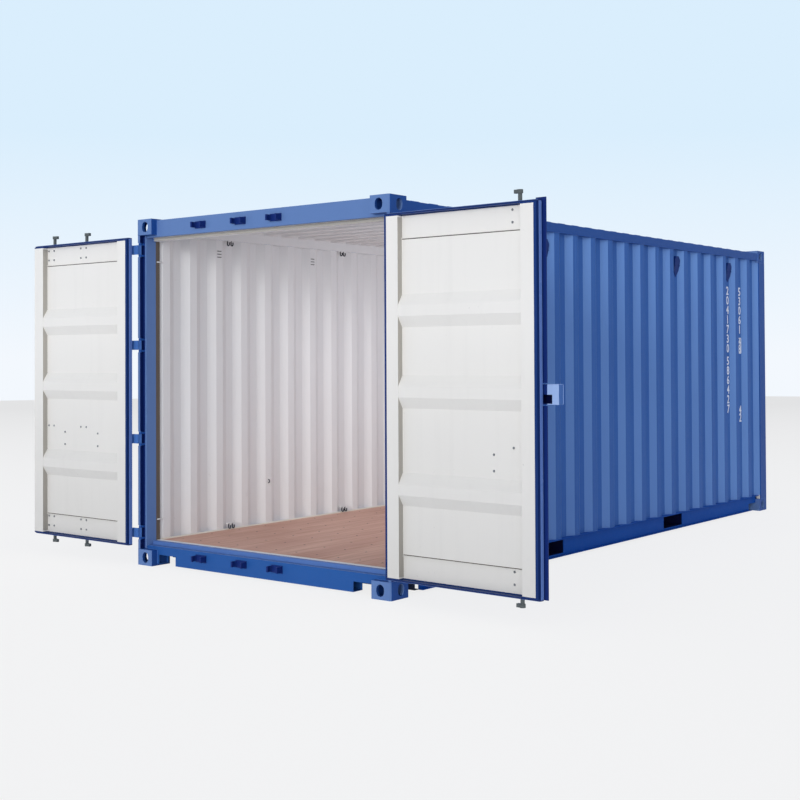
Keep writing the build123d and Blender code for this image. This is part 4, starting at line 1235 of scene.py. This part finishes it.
@dataclass
class LockingBar:
    """One locking bar: its paint, galvanised cams and the collars that keep it in its guides."""

    shop: Workshop
    leaf: Leaf
    row: str
    reach: float
    body: Body
    bare_ends: tuple[float, float] = (0.154, 2.446)
    guide_rows: tuple[float, float] = (0.255, 2.365)
    collar_rise: float = 0.028
    depth: float = 0.015

    def dress(self) -> None:
        """Blue tube and handle, with bare galvanised cams at both ends."""
        foot, head = self.bare_ends
        cams = [(CAM_ZINC, Split(z=(None, foot))), (CAM_ZINC, Split(z=(head, None)))]
        name = f"{self.leaf.name}_{self.row}"
        dress([f"{name}_locking_bar"], self.shop.paint(BAR_BLUE, cams, "locking bar paint"))
        dress([f"{name}_handle"], self.shop.paint(BAR_BLUE, name="handle paint"))

    def collars(self) -> None:
        """Rounded collars above and below the upper and lower guides."""
        collar = ring([(0.0168, -0.006), (0.0195, -0.006), (0.0205, -0.0035), (0.0205, 0.0035), (0.0195, 0.006),
                       (0.0168, 0.006)], 20)
        rows = [(self.reach, self.depth, z + side * self.collar_rise) for z in self.guide_rows for side in (-1, 1)]
        add_piece(f"{self.leaf.name}_{self.row}_bar_collars", self.leaf.fixed(collar.repeated(rows)),
                  self.shop.paint(BAR_BLUE, name="handle paint"), self.body)


@dataclass
class DoorEdge:
    """Overlap strip, lock box and staple where the two leaves meet, on the right leaf."""

    shop: Workshop
    leaf: Leaf
    box_along: tuple[float, float] = (1.105, 1.300)
    box_tall: tuple[float, float] = (1.272, 1.388)
    box_face: float = -0.008
    box_wall: float = 0.0049
    shaded_to: float = 1.221
    rivet_line: float = 1.167
    rivet_depth: float = 0.032

    def dress(self) -> None:
        """Navy painted shade on the strip and staple, with blue on the strip's outward faces, and the lock box in its
        paler paint with painted shade on its near part and inside.
        """
        near, far = self.box_along
        dress(["overlap_strip"], self.shop.paint(NAVY_SHADE, [(BLUE, self.leaf.outside())], "overlap strip paint"))
        dress(["lock_staple"], self.shop.paint(NAVY_SHADE))
        # Painted shade: navy on the lock box's near part and near black inside it.
        inside = self.leaf.part((near + self.box_wall, far - self.box_wall), (-0.0031, 0.0271),
                                (None, self.box_tall[1] - self.box_wall))
        covers = [(BLUE, self.leaf.part((far - 0.010, None), way=(1, 0, 0), least=0.7)),
                  (NAVY_SHADE, self.leaf.part((None, self.shaded_to))), (SHADOW_BLUE, inside)]
        dress(["lock_box"], self.shop.paint(BOX_BLUE, covers, "lock box paint"))

    def trim(self) -> None:
        """Rivets that hold the overlap strip, and the painted edge of the lock box's face."""
        rivet = bolt_head(0.006, 0.004).placed(toward((0, -1, 0)))
        rows = [*np.arange(0.20, 1.24, 0.17), *np.arange(1.44, 2.42, 0.16)]
        places = [(self.rivet_line, self.rivet_depth, z) for z in rows]
        rivets = self.leaf.fixed(rivet.repeated(places))
        add_piece("strip_rivets", rivets, self.shop.paint(BLUE), self.leaf.body)
        (near, far), (foot, head), face = self.box_along, self.box_tall, self.box_face
        edge = [((near, face, z), (far, face, z)) for z in (foot, head)]
        edge += [((u, face, foot), (u, face, head)) for u in (near, far)]
        add_piece("lock_box_beads", self.leaf.fixed(seams(edge, 0.0016)), self.shop.paint(BOX_BLUE),
                  self.leaf.body)


@dataclass
class Studio:
    """Camera, lamps, sky and floor."""

    focal: float = 1279.2289
    picture: float = 800.0
    centre_row: float = 336.297
    yaw: float = -38.18123
    pitch: float = 0.91
    roll: float = -0.26187
    spot: Triple = (7.512655, -6.349840, 1.551186)
    sensor: float = 36.0
    suns: tuple[tuple[str, float, float, Triple], ...] = (
        ("key", 0.84, 14.0, (-0.16, 1.0, -0.161)), ("side", 0.92, 36.0, (-0.50, 0.86, -0.10)))
    inside_size: tuple[float, float] = (4.9, 1.6)
    inside_watts: float = 34.0
    inside_spot: Triple = (WIDTH - 0.22, 3.45, 1.62)
    front: Triple = (0.30, -0.93, 0.12)
    sky_light: float = 0.68
    floor_reach: float = 39.0
    floor_away: Triple = (-0.618, 0.786, 0.0)
    floor_glow: float = 0.85

    def camera(self) -> None:
        """Camera where the photograph was taken from."""
        yaw, pitch, roll = (math.radians(a) for a in (self.yaw, self.pitch, self.roll))
        ahead = np.array([math.sin(yaw) * math.cos(pitch), math.cos(yaw) * math.cos(pitch), math.sin(pitch)])
        level = np.array([math.cos(yaw), -math.sin(yaw), 0])
        upright = np.cross(level, ahead)
        right = level * math.cos(roll) + upright * math.sin(roll)
        above = -level * math.sin(roll) + upright * math.cos(roll)
        data = bpy.data.cameras.new("photo camera")
        data.sensor_width = self.sensor
        data.lens = self.sensor * self.focal / self.picture
        data.shift_y = -(self.picture / 2 - self.centre_row) / self.picture
        camera = self._hang("photo camera", data, np.stack([right, above, -ahead], axis=1), self.spot)
        bpy.context.scene.camera = camera

    def lamps(self) -> None:
        """Two low soft suns from in front of the door end, and a soft lamp along the right wall inside."""
        for name, energy, angle, ahead in self.suns:
            sun = bpy.data.lights.new(name, "SUN")
            sun.energy, sun.angle = energy, math.radians(angle)
            self._unseen(self._hang(name, sun, toward(-np.array(ahead)), (0, 0, 0)))
        inside = bpy.data.lights.new("inside", "AREA")
        inside.shape, inside.energy, inside.color = "RECTANGLE", self.inside_watts, srgb(236, 242, 255)[:3]
        inside.size, inside.size_y = self.inside_size
        self._unseen(self._hang("inside", inside, toward((1.0, 0.0, 0.06)), self.inside_spot))

    @staticmethod
    def _hang(name: str, data: bpy.types.ID, turn: np.ndarray, spot: Triple) -> bpy.types.Object:
        """Put a camera or lamp at a spot, turned by a matrix."""
        holder = bpy.data.objects.new(name, data)
        holder.matrix_world = Matrix.Translation(spot) @ Matrix([triple(row) for row in turn]).to_4x4()
        bpy.context.scene.collection.objects.link(holder)
        return holder

    @staticmethod
    def _unseen(lamp: bpy.types.Object) -> None:
        """Keep a lamp out of the camera's view and out of reflections."""
        lamp.visible_camera = lamp.visible_glossy = False

    def sky(self) -> None:
        """Even white light, with a pale blue sky that only the camera and reflections see."""
        world = bpy.data.worlds.new("sky")
        bpy.context.scene.world = world
        world.use_nodes = True
        world.node_tree.nodes.clear()
        web = Web(world.node_tree)
        where = web.add("ShaderNodeTexCoord").outputs["Generated"]
        seen, light = (web.add("ShaderNodeBackground") for _ in range(2))
        web.feed(seen.inputs["Color"], web.blend(web.between(web.axis(where, "Z"), 0.0, 0.17),
                                                 srgb(243, 248, 254), srgb(218, 238, 253)))
        front = web.between(web.vector("DOT_PRODUCT", where, self.front), -0.3, 0.9)
        web.feed(light.inputs["Color"], web.blend(front, srgb(186, 194, 212), srgb(240, 245, 255)))
        light.inputs["Strength"].default_value = self.sky_light
        mix = self._seen_mix(web, light, seen, ("Is Camera Ray", "Is Glossy Ray", "Is Transmission Ray"))
        web.feed(web.add("ShaderNodeOutputWorld").inputs["Surface"], mix)

    @staticmethod
    def _seen_mix(web: Web, light: bpy.types.Node, seen: bpy.types.Node, rays: Sequence[str],
                  share: float = 1.0) -> bpy.types.NodeSocket:
        """Mix of two shaders by the kind of ray.

        Args:
            web: The node tree's web.
            light: Shader for the rays that carry light.
            seen: Shader for the rays named next.
            rays: Outputs of Light Path that show the second shader.
            share: How much of the second shader they show.

        Returns:
            The mixed shader.
        """
        path = web.add("ShaderNodeLightPath")
        ray = path.outputs[rays[0]]
        for name in rays[1:]:
            ray = web.number("MAXIMUM", ray, path.outputs[name])
        mix = web.add("ShaderNodeMixShader")
        for socket, value in zip(mix.inputs, (web.number("MULTIPLY", ray, share), light.outputs[0], seen.outputs[0])):
            web.feed(socket, value)
        return mix.outputs[0]

    def floor(self) -> None:
        """Plain pale round floor, a little greyer toward its far edge."""
        sides = 96
        turn = np.linspace(0, 2 * np.pi, sides, endpoint=False)
        rim = np.column_stack([self.floor_reach * np.cos(turn), self.floor_reach * np.sin(turn), np.zeros(sides)])
        mesh = bpy.data.meshes.new("studio_floor")
        mesh.from_pydata((rim + [WIDTH / 2, LENGTH / 2, -0.0005]).tolist(), [], [list(range(sides))])
        material = bpy.data.materials.new("studio floor")
        material.use_nodes = True
        web = Web(material.node_tree)
        shader, output = (next(n for n in material.node_tree.nodes if n.type == kind)
                          for kind in ("BSDF_PRINCIPLED", "OUTPUT_MATERIAL"))
        away = web.vector("DOT_PRODUCT", web.place(), self.floor_away)
        pale = web.blend(web.between(away, 3.0, 30.0), srgb(250, 250, 250), srgb(234, 234, 234))
        web.feed(shader.inputs["Base Color"], pale)
        shader.inputs["Roughness"].default_value = 0.9
        shader.inputs["Specular IOR Level"].default_value = 0.1
        glow = web.add("ShaderNodeEmission")
        web.feed(glow.inputs["Color"], pale)
        mix = self._seen_mix(web, shader, glow, ("Is Camera Ray", "Is Glossy Ray"), self.floor_glow)
        web.feed(output.inputs["Surface"], mix)
        mesh.materials.append(material)
        floor = bpy.data.objects.new("studio_floor", mesh)
        bpy.context.scene.collection.objects.link(floor)


def main() -> None:
    """Build and dress every sub-assembly in turn."""
    logging.basicConfig(level=logging.INFO, format="%(message)s")
    bpy.context.scene.view_settings.view_transform = "Standard"
    studio = Studio()
    studio.camera()
    studio.lamps()
    studio.sky()
    studio.floor()
    shop = Workshop()
    shell = Shell(shop)
    shell.dress()
    shell.seams()
    shell.marks()
    shell.roof_plates()
    vents = Ventilators(shop)
    vents.dress()
    vents.slots()
    space = CargoSpace(shop)
    space.boards()
    space.rings()
    space.eye()
    space.rods()
    space.wall_tops()
    outer, inner, pin_x, pin_y = 0.618, 1.026, 0.020, 0.012
    left = Leaf(shop, "left", 1, 180.5, (pin_x, pin_y), Body.LEFT_DOOR, (outer, inner))
    right = Leaf(shop, "right", -1, 178.5, (WIDTH - pin_x, pin_y), Body.RIGHT_DOOR, (inner,))
    for leaf in (left, right):
        leaf.dress()
        leaf.seal_ribs()
        leaf.welds()
        leaf.bolts()
        leaf.pin_heads()
    for bar in (LockingBar(shop, left, "outer", outer, Body.LEFT_OUTER_BAR),
                LockingBar(shop, left, "inner", inner, Body.LEFT_INNER_BAR),
                LockingBar(shop, right, "inner", inner, Body.RIGHT_BAR)):
        bar.dress()
        bar.collars()
    edge = DoorEdge(shop, right)
    edge.dress()
    edge.trim()


if __name__ == "__main__":
    main()
